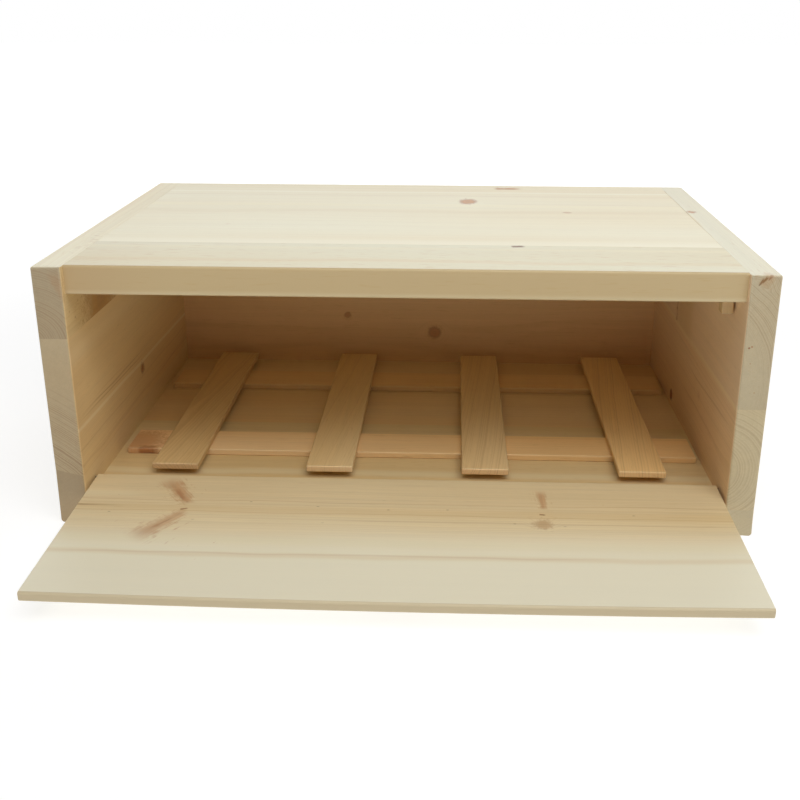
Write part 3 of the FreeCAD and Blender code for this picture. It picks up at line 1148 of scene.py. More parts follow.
@dataclass(frozen=True)
class Carcass:
    """Sides, top, floor, back and stop block."""

    eased: float = 1.5 * MM
    foot: float = 2.5 * MM
    vee: float = 0.35 * MM
    stop_eased: float = 0.7 * MM
    stop_steps: int = 4
    seam_rise: float = 4.5 * MM   # of the left side's lowest glue line, across its thickness
    pine: PlanedPine = PlanedPine()

    def boards(self) -> list[Board]:
        """Every board with its wood and its rounded edges."""
        return [*self._sides(), *self._panels(), *self._back(), self._stop_block()]

    def _sides(self) -> list[Board]:
        """The three boards of each side.

        Returns:
            The left side's boards and then the right side's, each from the bottom up.
        """
        low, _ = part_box("left_side_upper_board")
        _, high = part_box("right_side_upper_board")
        inner, seam_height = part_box("top_front_board")[1].x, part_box("left_side_lower_board")[1].z
        boards = []
        for hand, sign in (("left", -1), ("right", 1)):
            outer = sign * high.x
            joint = sign * inner
            easings = (
                Easing(self.foot, ({0: outer, 2: 0.0},)),
                Easing(self.eased, ({0: outer, 1: low.y}, {0: joint, 1: low.y}, {0: outer, 1: high.y},
                                    {0: outer, 2: high.z}, {1: low.y, 2: high.z}, {1: low.y, 2: 0.0},
                                    {1: high.y, 2: high.z}, {1: high.y, 2: 0.0})),
                Easing(self.vee, ({0: joint, 2: high.z}, {0: joint, 1: high.y}), 1),
            )
            seam = {0: outer, 2: seam_height} if hand == "left" else None
            for level in ("lower", "middle", "upper"):
                node = f"{hand}_side_{level}_board"
                bores = self._pin_bore(node, hand)
                boards.append(Board(node, TIMBER[node], easings, bores, seam, self.seam_rise))
        return boards

    def _panels(self) -> list[Board]:
        """The boards of the top and the floor.

        Returns:
            The top's two boards and then the floor's, each from the front.
        """
        low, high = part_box("top_front_board")
        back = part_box("back_upper_board")[0].y
        levels = (0.0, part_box("floor_front_board")[1].z, low.z, high.z)
        easings = (
            Easing(self.eased, tuple({1: low.y, 2: level} for level in levels)),
            Easing(self.vee, ({0: -high.x, 2: high.z}, {0: high.x, 2: high.z}, {1: back, 2: high.z},
                              {0: -high.x, 1: low.y}, {0: high.x, 1: low.y}), 1),
        )
        nodes = ("top_front_board", "top_rear_board", "floor_front_board", "floor_rear_board")
        return [Board(node, TIMBER[node], easings) for node in nodes]

    def _back(self) -> list[Board]:
        """The boards of the back.

        Returns:
            The lower one and the upper one.
        """
        low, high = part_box("back_upper_board")
        easings = (
            Easing(self.eased, ({1: high.y, 2: high.z}, {1: high.y, 2: 0.0})),
            Easing(self.vee, ({0: low.x, 1: high.y}, {0: high.x, 1: high.y}, {1: low.y, 2: high.z}), 1),
        )
        return [Board(node, TIMBER[node], easings) for node in ("back_lower_board", "back_upper_board")]

    @staticmethod
    def _pin_bore(node: str, hand: str) -> tuple[Bore, ...]:
        """The bore for the hinge pin, if a board holds it.

        Args:
            node: the board.
            hand: the side that it is in.

        Returns:
            The bore, or nothing.
        """
        low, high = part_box(node)
        x, y, z = hinge_axis()
        pin_low, pin_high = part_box(hand + "_hinge_pin")
        if not low.z < z < high.z:
            return ()
        return (((low.x - MM, y, z), (high.x + MM, y, z), (pin_high.z - pin_low.z) / 2),)

    def _stop_block(self) -> Board:
        """The block that the closed flap leans on.

        Returns:
            Its board, with the grain upright.
        """
        low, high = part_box("stop_block")
        uprights = tuple({0: x, 1: y} for x in (low.x, high.x) for y in (low.y, high.y))
        easing = Easing(self.stop_eased, ({2: low.z}, *uprights), self.stop_steps)
        return Board("stop_block", TIMBER["stop_block"], (easing,))

    def make(self) -> None:
        """Builds and dresses every board."""
        for board in self.boards():
            board.dress(board.build(), self.pine)


def flap_joint() -> dict[str, Any]:
    """The flap's hinge, as the frame gives it."""
    return next(joint for joint in frame["joints"] if joint["name"] == "flap_hinge")


def hinge_axis() -> Triple:
    """A point on the flap's hinge axis."""
    return tuple(flap_joint()["pos_m"])


# --- Flap -------------------------------------------------------------------------------------------


@dataclass(frozen=True)
class Flap:
    """The drop-down front: one board on two pins, with a turned knob on its outer face."""

    round_edge: float = 1.5 * MM
    end_edge: float = 0.5 * MM
    bow: float = 1.7 * MM         # warp of the free edge, from its ends to its middle
    bow_share: float = 0.85       # of it that lies outwards, which keeps the ends clear of the stop block
    columns: int = 24
    arc_steps: int = 8            # of a quarter turn
    end_steps: int = 3
    bore_clearance: float = 0.15 * MM
    lean_deg: float = 1.0         # the closed flap leans in by this
    knob_inset: float = 38.0 * MM
    knob_gap: float = 2.5 * MM    # between the knob and the table while the flap is open
    knob_root: float = 1.0 * MM   # how far the neck starts inside the board
    knob_neck: float = 7.5 * MM
    knob_flare: float = 3.0 * MM
    knob_rim: float = 5.0 * MM
    knob_rounding: float = 1.2 * MM
    knob_crown: float = 0.8 * MM
    knob_sides: int = 72
    crown_shares: tuple[float, ...] = (0.8, 0.6, 0.4, 0.2, 0.0)   # of the face's radius

    def tilt(self) -> float:
        """How far the open flap slopes down to the front, in radians."""
        return math.radians(flap_joint()["range_deg"][1] - 90 - self.lean_deg)

    def profile(self) -> list[Pair]:
        """Outline of the board across the grain.

        Returns:
            Its corners, as places along the middle plane and above it.
        """
        low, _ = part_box("flap_board")
        _, pivot_y, _ = hinge_axis()
        half, edge, tilt = self.half_thickness(), self.round_edge, self.tilt()
        reach = (pivot_y - low.y - edge - (half - edge) * math.sin(tilt)) / math.cos(tilt) + edge
        outline = []
        arcs = ((0.0, 0.0, half, 270, 90), (reach - edge, half - edge, edge, 90, 0),
                (reach - edge, edge - half, edge, 0, -90))
        for along, above, radius, start, end in arcs:
            steps = self.arc_steps * (2 if radius == half else 1)
            for step in range(steps + 1):
                angle = math.radians(start + (end - start) * step / steps)
                outline.append((along + radius * math.cos(angle), above + radius * math.sin(angle)))
        return outline

    def half_thickness(self) -> float:
        """Half the board's thickness, which is the radius of its hinge end."""
        _, pivot_y, _ = hinge_axis()
        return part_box("flap_board")[1].y - pivot_y

    def build_board(self) -> bpy.types.Object:
        """Makes the board in columns from end to end, with the warp of the free edge.

        Returns:
            The board as a piece, bored for the pins.
        """
        low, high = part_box("flap_board")
        outline = self.profile()
        middle = (low.x + high.x) / 2
        half_width = (high.x - low.x) / 2
        body = bmesh.new()
        rings = []
        for x, shrink in self._columns(half_width):
            section = self._section(outline, x / half_width, shrink)
            rings.append([body.verts.new((middle + x, y, z)) for y, z in section])
        for near, far in zip(rings, rings[1:]):
            for i in range(len(outline)):
                j = (i + 1) % len(outline)
                body.faces.new((near[i], near[j], far[j], far[i]))
        body.faces.new(rings[0])
        body.faces.new(rings[-1])
        mark_easing(body)
        return finished("flap_board_planed", mesh_of("flap_board", body), self._bores())

    def _section(self, outline: Sequence[Pair], across: float, shrink: float) -> list[Pair]:
        """Outline of the warped board at one place along it.

        Args:
            outline: the flat board's outline.
            across: the place, from -1 at the left end to 1 at the right.
            shrink: how far the outline is drawn in there.

        Returns:
            The y and z of its corners.
        """
        _, pivot_y, pivot_z = hinge_axis()
        reach = max(along for along, _ in outline)
        half = self.half_thickness()
        sine, cosine = math.sin(self.tilt()), math.cos(self.tilt())
        scale = 1 - shrink / half
        section = []
        for along, above in outline:
            inner = min(max(along, 0.0), reach - half)
            flat = inner + (along - inner) * scale
            high_up = above * scale
            sag = self.bow * (self.bow_share - across ** 2) * max(flat / reach, 0.0)
            section.append((pivot_y - flat * cosine - high_up * sine,
                            pivot_z - flat * sine + high_up * cosine - sag))
        return section

    def _bores(self) -> list[bpy.types.Object]:
        """The rods that bore the board for its pins.

        Returns:
            One for each pin, a little wider than the pin.
        """
        _, pivot_y, pivot_z = hinge_axis()
        rods = []
        for side in ("left", "right"):
            pin_low, pin_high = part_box(side + "_hinge_pin")
            radius = (pin_high.z - pin_low.z) / 2 + self.bore_clearance
            rods.append(rod((pin_low.x, pivot_y, pivot_z), (pin_high.x, pivot_y, pivot_z), radius))
        return rods

    def _columns(self, half_width: float) -> list[Pair]:
        """Where the outline stands along the board, drawn in at the ends to round their edges.

        Args:
            half_width: half of its length.

        Returns:
            Each place with how far the outline is drawn in there.
        """
        ends = []
        for step in range(self.end_steps + 1):
            angle = math.pi / 2 * step / self.end_steps
            across = half_width - self.end_edge * (1 - math.sin(angle))
            ends.append((across, self.end_edge * (1 - math.cos(angle))))
        ends.reverse()
        inner = half_width - self.end_edge
        between = [(-inner + 2 * inner * step / self.columns, 0.0) for step in range(1, self.columns)]
        left = [(-x, shrink) for x, shrink in ends]
        return left + between + ends[::-1]

    def build_knob(self) -> bpy.types.Object:
        """Turns the knob about an axis square to the board.

        Returns:
            The knob as a piece.
        """
        _, pivot_y, pivot_z = hinge_axis()
        tilt = self.tilt()
        reach = max(along for along, _ in self.profile())
        along = reach - self.knob_inset
        seat = Vector((0, pivot_y - along * math.cos(tilt), pivot_z - along * math.sin(tilt)))
        down = Vector((0, math.sin(tilt), -math.cos(tilt)))
        low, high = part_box("flap_knob")
        radius = (high.x - low.x) / 2
        height = pivot_z - (along + radius) * math.sin(tilt) - self.half_thickness() - self.knob_gap
        body = bmesh.new()
        outline = self.knob_outline(radius, height)
        corners = [body.verts.new((span, 0.0, self.half_thickness() + depth)) for span, depth in outline]
        edges = [body.edges.new(pair) for pair in zip(corners, corners[1:])]
        bmesh.ops.spin(body, geom=corners + edges, cent=(0, 0, 0), axis=(0, 0, 1), dvec=(0, 0, 0),
                       angle=math.tau, steps=self.knob_sides, use_duplicate=False)
        bmesh.ops.remove_doubles(body, verts=body.verts, dist=SAME_PLACE)
        body.transform(Matrix.Translation(seat) @ down.to_track_quat("Z", "Y").to_matrix().to_4x4())
        mark_easing(body)
        return finished("flap_knob_turned", mesh_of("flap_knob", body))

    def knob_outline(self, radius: float, height: float) -> list[Pair]:
        """Half outline of the knob, from its root to the middle of its face.

        Args:
            radius: its largest radius.
            height: of its face over the board.

        Returns:
            Radii and depths below the board.
        """
        rise, rounding = self.knob_crown, self.knob_rounding
        rim_top = height - rise - self.knob_rim
        neck, flare = self.knob_neck, self.knob_flare
        outline = [(0.0, -self.knob_root), (neck, -self.knob_root), (neck, rim_top - flare)]
        outline += [(neck + (radius - rounding - neck) * (1 - math.cos(turn)),
                     rim_top - flare * (1 - math.sin(turn)))
                    for turn in self._turns(0, 90)[1:]]
        for start, depth in ((-90, rim_top + rounding), (0, height - rise - rounding)):
            outline += [(radius - rounding + rounding * math.cos(turn), depth + rounding * math.sin(turn))
                        for turn in self._turns(start, start + 90)[1:]]
        face = radius - rounding
        outline += [(face * share, height - rise * share ** 2) for share in self.crown_shares]
        return outline

    def _turns(self, start: float, end: float) -> list[float]:
        """Angles from start to end, which are in degrees, in even steps."""
        return [math.radians(start + (end - start) * step / self.arc_steps)
                for step in range(self.arc_steps + 1)]

    def make(self) -> None:
        """Builds and dresses the board and the knob."""
        board = self.build_board()
        dress_with(board, PlanedPine().material("pine_flap_board", TIMBER["flap_board"]))
        settle(board, "flap", ["flap_board"])
        knob = self.build_knob()
        dress_with(knob, TurnedBeech().material("beech_knob", Grain.Z))
        settle(knob, "flap", ["flap_knob"])


# --- Rack -------------------------------------------------------------------------------------------


@dataclass(frozen=True)
class Rack:
    """The loose rack: two rails under four cross slats."""

    edge: float = 1.0 * MM
    corners: int = 10             # vertices along each edge of a slat before it is rounded
    flat_share: float = 1 / 3     # part of them that spans the flat
    off_flat: float = 0.01        # past the flat by more than this is on the rounding
    eased_axes: Pair = (1.4, 1.6)    # on two axes it is on an eased edge
    log_spread: float = 0.05      # along the grain, so that no two slats show the same streaks
    rail_seed: int = 5
    slat_seed: int = 11
    rails: tuple[str, ...] = ("rack_front_rail", "rack_rear_rail")
    slats: tuple[str, ...] = tuple(f"rack_cross_slat_{number}" for number in range(1, 5))

    def pattern(self) -> Pattern:
        """Tree that lays rounded slats in a row, each cut from its own place in the log.

        Returns:
            The tree.
        """
        asked = ("size", "radius", "start", "step", "spread", "count", "seed", "material")
        graph = Pattern("slat_row", asked)
        row = graph.node("GeometryNodeMeshLine", {"mode": "OFFSET"}, {
            "Count": graph.asked["count"], "Start Location": graph.asked["start"],
            "Offset": graph.asked["step"]})
        copies = graph.node("GeometryNodeInstanceOnPoints", {}, {
            "Points": row.outputs[0], "Instance": self._slat(graph)}).outputs[0]
        draw = graph.node("FunctionNodeRandomValue", {"data_type": "FLOAT_VECTOR"}, {
            "Min": (0.0, 0.0, 0.0), "Max": graph.asked["spread"], "Seed": graph.asked["seed"]})
        copies = graph.kept(copies, LOG_SHIFT, "FLOAT_VECTOR", "INSTANCE", draw.outputs["Value"])
        number = graph.node("GeometryNodeInputIndex", {}, {}).outputs[0]
        graph.finish(graph.kept(copies, SLAT_NUMBER, "FLOAT", "INSTANCE", number))
        return graph

    def _slat(self, graph: Pattern) -> bpy.types.NodeSocket:
        """One slat about the origin: a cube stretched to its size, with its edges rounded.

        Args:
            graph: the tree that it is part of.

        Returns:
            Its geometry, marked where its edges are eased.
        """
        sides = {f"Vertices {axis}": self.corners for axis in "XYZ"}
        cube = graph.node("GeometryNodeMeshCube", {}, {"Size": (2.0, 2.0, 2.0), **sides})
        spot = Arrow(graph, graph.node("GeometryNodeInputPosition", {}, {}).outputs[0])
        radius = Number(graph, graph.asked["radius"])
        size = Arrow(graph, graph.asked["size"])
        share = self.flat_share
        beyond = (abs(spot) - (share, share, share)).at_least((0.0, 0.0, 0.0))
        core = size.scaled(0.5) - Arrow(graph, graph.node("ShaderNodeCombineXYZ", {}, {
            0: radius, 1: radius, 2: radius}).outputs[0])
        flat = spot.signs() * abs(spot).scaled(1 / share).at_most((1.0, 1.0, 1.0)) * core
        rounded = flat + (spot.signs() * beyond).unit().scaled(radius)
        many = (beyond - (self.off_flat,) * 3).ceiling().dot((1.0, 1.0, 1.0))
        marked = graph.kept(cube.outputs["Mesh"], EASED, "FLOAT", "POINT", many.ease(*self.eased_axes))
        slat = graph.node("GeometryNodeSetPosition", {}, {"Geometry": marked, "Position": rounded})
        return slat.outputs[0]

    def build(self, pattern: Pattern, name: str, nodes: Sequence[str], seed: int, grain: Grain,
              material: bpy.types.Material) -> bpy.types.Object:
        """Lays one row of slats where its nodes are.

        Args:
            pattern: the tree that lays a row.
            name: name of the piece.
            nodes: the evenly spaced nodes of the row.
            seed: which places in the log they are cut from.
            grain: which way their fibres run.
            material: their wood.

        Returns:
            The row as one piece.
        """
        boxes = [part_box(node) for node in nodes]
        low, high = boxes[0]
        first, last = ((box[0] + box[1]) / 2 for box in (boxes[0], boxes[-1]))
        values = {"size": high - low, "radius": self.edge, "start": first, "count": len(nodes),
                  "step": (last - first) / (len(nodes) - 1), "seed": seed, "material": material,
                  "spread": Vector(grain.direction()) * self.log_spread}
        return finished(name, pattern.grow(name, values))

    def make(self) -> None:
        """Builds and dresses the rails and the cross slats."""
        pattern = self.pattern()
        pine = PlanedPine()
        rows = (("rack_rails", self.rails, self.rail_seed, "rack_rail"),
                ("rack_cross_slats", self.slats, self.slat_seed, "rack_slat"))
        for name, nodes, seed, timber in rows:
            material = pine.material("pine_" + timber, TIMBER[timber])
            row = self.build(pattern, name, nodes, seed, TIMBER[timber].grain, material)
            settle(row, "rack", nodes)


# --- Hardware ---------------------------------------------------------------------------------------


@dataclass(frozen=True)
class Hardware:
    """The hinge pins and the hidden dowels, which keep their own solids."""

    pin: DrawnSteel = DrawnSteel()
    dowel: TurnedBeech = TurnedBeech()
    fore_and_aft: tuple[str, ...] = ("top_back", "floor_back")   # joints whose dowels run from front to rear

    def dress(self) -> None:
        """Gives the pins their steel and the dowels their beech, and reports each."""
        steel = self.pin.material("steel_pin", Grain.X)
        beech = {grain: self.dowel.material(f"beech_dowel_{grain.name}", grain)
                 for grain in (Grain.X, Grain.Y)}
        for name, node in frame["nodes"].items():
            if name.endswith("_pin"):
                finish = steel
            elif name.endswith("_dowels"):
                finish = beech[Grain.Y if name.startswith(self.fore_and_aft) else Grain.X]
            else:
                continue
            dress_with(node, finish)
            LOG.info("%s: its own solid, %s", name, finish.name)


# --- Timber of each board -----------------------------------------------------------------------------


def mm(*sizes: float) -> tuple[float, ...]:
    """Sizes in millimetres, as metres."""
    return tuple(size * MM for size in sizes)


PALE = srgb(243, 238, 214)
HONEY = srgb(246, 224, 182)
RUST = srgb(176, 112, 30)
TAN = srgb(192, 166, 118)
CREAM = srgb(236, 226, 190)
GOLD = srgb(210, 176, 116)
BROWN = srgb(172, 126, 78)
PITCH = srgb(140, 94, 54)
BARK = srgb(106, 74, 22)
BLUSH = srgb(214, 176, 144)


def through(x: float | None, y: float | None, z: float | None, radius: float, **more: Any) -> Knot:
    """A knot that goes right through a board; millimetres.

    Args:
        x: its place, or None along its axis.
        y: likewise.
        z: likewise.
        radius: its radius.
        more: other fields of the knot.

    Returns:
        The knot.
    """
    places = (x, y, z)
    toward = tuple(1.0 if place is None else 0.0 for place in places)
    return Knot(mm(*(place or 0.0 for place in places)), toward, radius * MM, **more)


def spike(start: Sequence[float], end: Sequence[float], thin: float, thick: float, **more: Any) -> Knot:
    """A knot sawn along its length; millimetres.

    Args:
        start: its thin end.
        end: its thick end.
        thin: radius at the thin end.
        thick: radius at the thick end.
        more: other fields of the knot.

    Returns:
        The knot.
    """
    line = (Vector(end) - Vector(start)) * MM
    reach = (-0.1 * line.length, line.length)
    return Knot(mm(*start), tuple(line), thin * MM, (thick - thin) * MM / line.length, reach, **more)


def stripe(across: int, place: float, width: float, tone: Triple, amount: float,
           span: Sequence[float] | None = None, wave: float = 0.0, **more: Any) -> Band:
    """A band given in millimetres.

    Args:
        across: which of the two axes across the grain it is placed on.
        place: where.
        width: half its width.
        tone: its colour.
        amount: its strength.
        span: its start and end along the grain.
        wave: how far it wanders.
        more: other fields of the band.

    Returns:
        The band.
    """
    return Band(across, place * MM, width * MM, tone, amount, wave=wave * MM,
                span=None if span is None else mm(*span), **more)


TIMBER = {
    "top_front_board": Timber(
        Grain.X, mm(-95, 40), ring=0.0021, contrast=0.16, warmth=0.42, tint=(0.925, 0.985, 1.05),
        streaks=0.45, flecks=0.5,
        # the first band is painted shade: the front face darker and tanner than the upper face
        bands=(stripe(0, -133.5, 2.1, TAN, 0.9, core=0.6), stripe(1, 152, 4, CREAM, 0.3),
               stripe(0, -115, 6, GOLD, 0.2, wave=4.0), stripe(0, -84, 4, CREAM, 0.3, wave=2.0),
               # painted shade: darker towards the left, where the light falls off
               stripe(1, 161, 10, BROWN, 0.26, (-260, -130), core=0.75, fade=0.08)),
        knots=(Knot(mm(71.5, -74.9, 170), (1.0, 0.1, 0.4), 2.6 * MM, depth=1.0, dark=0.5, reach=mm(-4.8, 4.8),
                    tone=BARK),)),
    "top_rear_board": Timber(
        Grain.X, mm(20, 60), ring=0.0024, contrast=0.14, warmth=0.2, streaks=0.45, flecks=0.12,
        bands=(stripe(0, -72.5, 17, PALE, 0.55, wave=1.0, core=0.25), stripe(0, 52, 8, CREAM, 0.4, wave=3.0),
               stripe(0, 90, 1.5, BROWN, 0.16, wave=3.0),
               stripe(0, 58, 1.2, BROWN, 0.2, (60, 260), wave=2.0),
               stripe(0, 30, 9, TAN, 0.12, wave=5.0), stripe(0, 104, 5, PALE, 0.5, wave=2.0)),
        knots=(Knot(mm(41, 68.5, 170), (0.1, 1.1, 1.0), 7.0 * MM, depth=0.9, dark=0.3, bulge=0.006,
                    tone=RUST),
               Knot(mm(113.5, 30.5, 170), (1.0, 0.0, 1.0), 2.6 * MM, depth=0.5, dark=0.2, tone=RUST),
               through(-128, -18, None, 2.2, depth=0.15, dark=0.1, feather=0.5))),
    "floor_front_board": Timber(
        Grain.X, mm(-60, 80), ring=0.0021, contrast=0.22, warmth=0.75, tint=(0.97, 0.91, 0.80), flecks=0.25,
        bands=(stripe(0, -96, 7, CREAM, 0.35, wave=5.0), stripe(0, -120, 3, BROWN, 0.14, wave=5.0)),
        knots=(through(60, -70, None, 6.5, depth=0.6, bulge=0.006), through(-120, -45, None, 3.5))),
    "floor_rear_board": Timber(
        Grain.X, mm(70, -50), ring=0.0019, contrast=0.25, warmth=0.8, tint=(1.04, 0.93, 0.84),
        knots=(through(-55, 40, None, 5.5, depth=0.65, bulge=0.005), through(150, 92, None, 4.0),
               through(-165, 80, None, 2.5, depth=0.8, dark=0.8))),
    "back_lower_board": Timber(
        Grain.X, mm(190, 40), ring=0.0019, contrast=0.22, warmth=0.3, inward=FRONTWARD,
        inside_shade_tint=(1.016, 0.707, 0.463),
        knots=(through(15, None, 45, 6.0, depth=0.65, bulge=0.006), through(-60, None, 60, 3.0),
               through(144.5, None, 21, 2.6, depth=0.8, dark=0.5))),
    "back_upper_board": Timber(
        Grain.X, mm(60, 122), ring=0.0021, contrast=0.22, warmth=0.25, inward=FRONTWARD,
        inside_shade_tint=(1.017, 0.711, 0.475), bands=(stripe(1, 104, 7, GOLD, 0.3, wave=4.0),),
        knots=(Knot(mm(75, 123, 170), (1.0, 0.0, 0.1), 4.4 * MM, reach=mm(-13, 12), depth=0.85, dark=0.3,
                    feather=0.6, tone=RUST),
               through(-95, None, 128, 5.0, depth=0.65, bulge=0.006), through(150, None, 108, 3.2))),
    # the left side's end tints sit below the right side's: end grain's own darkness plus painted shade, as
    # the light falls off to the left
    "left_side_lower_board": Timber(
        Grain.Y, mm(-160, -60), ring=0.0021, contrast=0.10, warmth=0.25, inward=RIGHTWARD,
        inside_shade_tint=(1.014, 0.807, 0.582), streaks=0.5, end_tint=(0.488, 0.394, 0.312)),
    "left_side_middle_board": Timber(
        Grain.Y, mm(-279, -38), ring=0.0014, contrast=0.6, face_share=0.25, calm=mm(130, 152), warmth=0.25,
        inward=RIGHTWARD, inside_shade_tint=(1.033, 0.827, 0.589), end_tint=(0.601, 0.509, 0.419),
        bands=(stripe(1, 69.5, 0.9, BROWN, 0.42, (-140, 10), slope=-0.01, wave=1.4, fade=0.05),
               stripe(1, 66.0, 0.8, BROWN, 0.42, (-140, 20), slope=-0.02, wave=1.2, fade=0.05),
               stripe(1, 73.0, 1.2, BROWN, 0.16, (-120, -20), wave=2.0, fade=0.04),
               stripe(1, 61.5, 1.7, HONEY, 0.85, slope=-0.02, wave=1.2, core=0.4),
               stripe(1, 100, 60, BROWN, 0.2, (-200, -95), core=0.7, fade=0.06),
               stripe(1, 112, 9, HONEY, 0.25, wave=3.0), stripe(1, 38, 1.4, BROWN, 0.16, wave=3.0),
               stripe(1, 50, 1.0, BROWN, 0.16, wave=2.5)),
        knots=(through(None, -5, 56.2, 4.0, depth=0.8, dark=0.7, feather=0.35),
               through(None, 92, 104, 4.6, bulge=0.006))),
    "left_side_upper_board": Timber(
        Grain.Y, mm(-225, 122), ring=0.0014, contrast=0.5, face_share=0.4, calm=mm(40, 70), warmth=0.2,
        inward=RIGHTWARD, inside_shade_tint=(0.96, 0.79, 0.56), end_tint=(0.506, 0.433, 0.367),
        knots=(spike((-202.5, -136, 147), (-206.5, -136, 170), 0.8, 5.5, depth=0.3, dark=0.0,
                     feather=0.2, tone=BROWN),
               Knot(mm(-202, -76, 132), RIGHTWARD, 27.0 * MM, depth=0.66, dark=0.4, reach=mm(-9, 4),
                    bulge=0.012, swirl=1.5, feather=0.5, tone=RUST),
               through(None, -122, 134, 0.8, depth=0.5, dark=0.6), through(None, -130, 140, 0.7, depth=0.4),
               through(None, -108, 143, 0.8, depth=0.4))),
    "right_side_lower_board": Timber(
        Grain.Y, mm(260, -60), ring=0.0021, contrast=0.1, warmth=0.25, inward=LEFTWARD,
        inside_shade_tint=(1.003, 0.8, 0.642), streaks=0.4, end_tint=(0.653, 0.633, 0.597),
        bands=(stripe(1, 0, 3.5, BLUSH, 0.6),)),
    "right_side_middle_board": Timber(
        Grain.Y, mm(191, 45), ring=0.0022, crowding=1.2, contrast=0.28, face_share=0.6, warmth=0.25,
        wander=0.004, inward=LEFTWARD, inside_shade_tint=(1.041, 0.809, 0.672), end_tint=(0.724, 0.654, 0.552),
        bands=(stripe(1, 66.5, 1.3, BROWN, 0.30, (-140, 0), slope=-0.03, wave=3.0, fade=0.04),
               stripe(1, 49, 1.5, BROWN, 0.24, (-120, 10), slope=0.03, wave=4.0, fade=0.04),
               stripe(1, 86, 4.5, HONEY, 0.5, wave=0.5)),
        knots=(through(None, 33, 26, 4.2, depth=0.95, dark=0.8),
               through(None, -48, 58, 3.0, depth=0.25, feather=0.8))),
    "right_side_upper_board": Timber(
        Grain.Y, mm(155, 100), ring=0.0012, contrast=0.52, face_share=0.12, calm=mm(68, 55), warmth=0.2,
        tint=(0.92, 0.93, 0.95), inward=LEFTWARD, inside_shade_tint=(1.026, 0.829, 0.734),
        end_tint=(0.635, 0.575, 0.507),
        bands=(stripe(1, 86, 2.5, HONEY, 0.5), stripe(0, 202, 1.5, GOLD, 0.4, (-20, 45))),
        knots=(through(205.5, 37, None, 3.6, depth=0.9, dark=0.3, feather=0.3, tone=RUST),
               spike((206.6, -137, 163.6), (209.8, -137.4, 168.6), 0.6, 1.1, depth=0.8, dark=0.3,
                     tone=BARK),
               spike((208.6, -137, 165.0), (211.6, -137.4, 169.8), 0.5, 1.2, depth=0.8, dark=0.2,
                     tone=BARK),
               spike((211.6, -137, 166.8), (214.4, -137.4, 171.0), 0.5, 1.2, depth=0.7, dark=0.1,
                     tone=PITCH),
               Knot(mm(211, -136, 168), (0.6, 0.0, 1.0), 4.0 * MM, depth=0.3, dark=0.2,
                    reach=mm(-6, 6), feather=1.0, tone=RUST),
               spike((212, -137, 170), (211, -129, 171), 2.2, 1.4, depth=0.25, dark=0.2, feather=0.7,
                     tone=GOLD),
               through(205.1, None, 125.4, 0.7, depth=0.9, dark=0.9),
               through(206.7, None, 126.2, 0.6, depth=0.8),
               through(206.8, None, 115.6, 0.4, depth=0.6), through(211.1, None, 97, 0.45, depth=0.6),
               through(None, -20, 132, 4.5, depth=0.4, bulge=0.006, feather=0.5))),
    "stop_block": Timber(
        Grain.Z, mm(170, -60), contrast=0.15, warmth=0.3, tint=(0.78, 0.60, 0.42), streaks=0.4),
    "flap_board": Timber(
        Grain.X, mm(-160, 21), ring=0.0023, contrast=0.34, calm=mm(16, 34), warmth=0.72, wander=0.0015,
        streaks=0.95, flecks=0.12, specks=0.55, speck_zone=mm(-174, -142), end_tint=(0.8, 0.8, 0.79),
        bands=(stripe(0, -240, 80, PALE, 0.86, core=0.35, wave=2.0),
               stripe(0, -247.7, 1.6, TAN, 0.66, core=0.6),
               stripe(0, -204.2, 1.3, BROWN, 0.17, (-215, 140), slope=0.008, wave=2.6, fade=0.06),
               stripe(0, -205.4, 4.0, GOLD, 0.24, slope=0.008, wave=2.6),
               stripe(0, -192, 6, CREAM, 0.35, wave=1.0), stripe(0, -161, 0.7, BROWN, 0.30, wave=2.0),
               stripe(0, -148, 0.6, BROWN, 0.32, wave=2.0), stripe(0, -158, 7, GOLD, 0.3, wave=1.0),
               stripe(0, -120, 52, BROWN, 0.08, core=0.6),
               stripe(0, -168, 0.6, BROWN, 0.22, (-40, 200), wave=1.4),
               stripe(0, -142, 6, CREAM, 0.3, (-230, -150), wave=1.0, fade=0.03),
               stripe(0, -156, 1.6, PITCH, 0.6, (-260, -165), fade=0.04)),
        knots=(spike((-132.5, -151, 23), (-154.5, -120, 23), 3.8, 6.8, depth=0.57, dark=0.25, bulge=0.004,
                     feather=0.8),
               spike((-136, -148, 23.6), (-145, -134, 24), 1.2, 1.6, depth=0.5, dark=0.6, feather=0.6),
               spike((-133, -162, 23), (-157, -195.5, 22), 3.4, 8.2, depth=0.5, dark=0.25, bulge=0.004,
                     feather=0.9),
               spike((-138, -170, 23), (-149, -183, 22.5), 0.5, 1.1, depth=0.4, dark=0.8, feather=0.4),
               Knot(mm(-133.1, -158.6, 23.3), (1.0, 0.35, 0.0), 0.8 * MM, depth=0.8, dark=0.8,
                    reach=mm(-2.8, 2.8)),
               spike((87.5, -150, 23.6), (86.5, -127, 24.3), 1.8, 3.0, depth=0.55, dark=0.25, bulge=0.004,
                     feather=0.8),
               through(86, -168, None, 5.6, depth=0.5, dark=0.15, bulge=0.005, feather=0.35, tone=BROWN),
               Knot(mm(86.4, -157.4, 23.4), (1.0, -0.15, 0.0), 0.8 * MM, depth=0.8, dark=0.8,
                    reach=mm(-2.2, 2.2)))),
    "rack_rail": Timber(
        Grain.X, mm(0, -30), ring=0.0018, contrast=0.25, warmth=0.85,
        knots=(through(-190, -62, None, 20.0, depth=0.62, dark=0.15, bulge=0.006, feather=0.35),
               Knot(mm(-181, -72.7, 19.5), (1.0, 0.0, 0.1), 4.6 * MM, reach=mm(-8, 9), depth=0.85, dark=0.6,
                    feather=0.5)),
        # tints above 1 are painted light on the rails in the box's shade
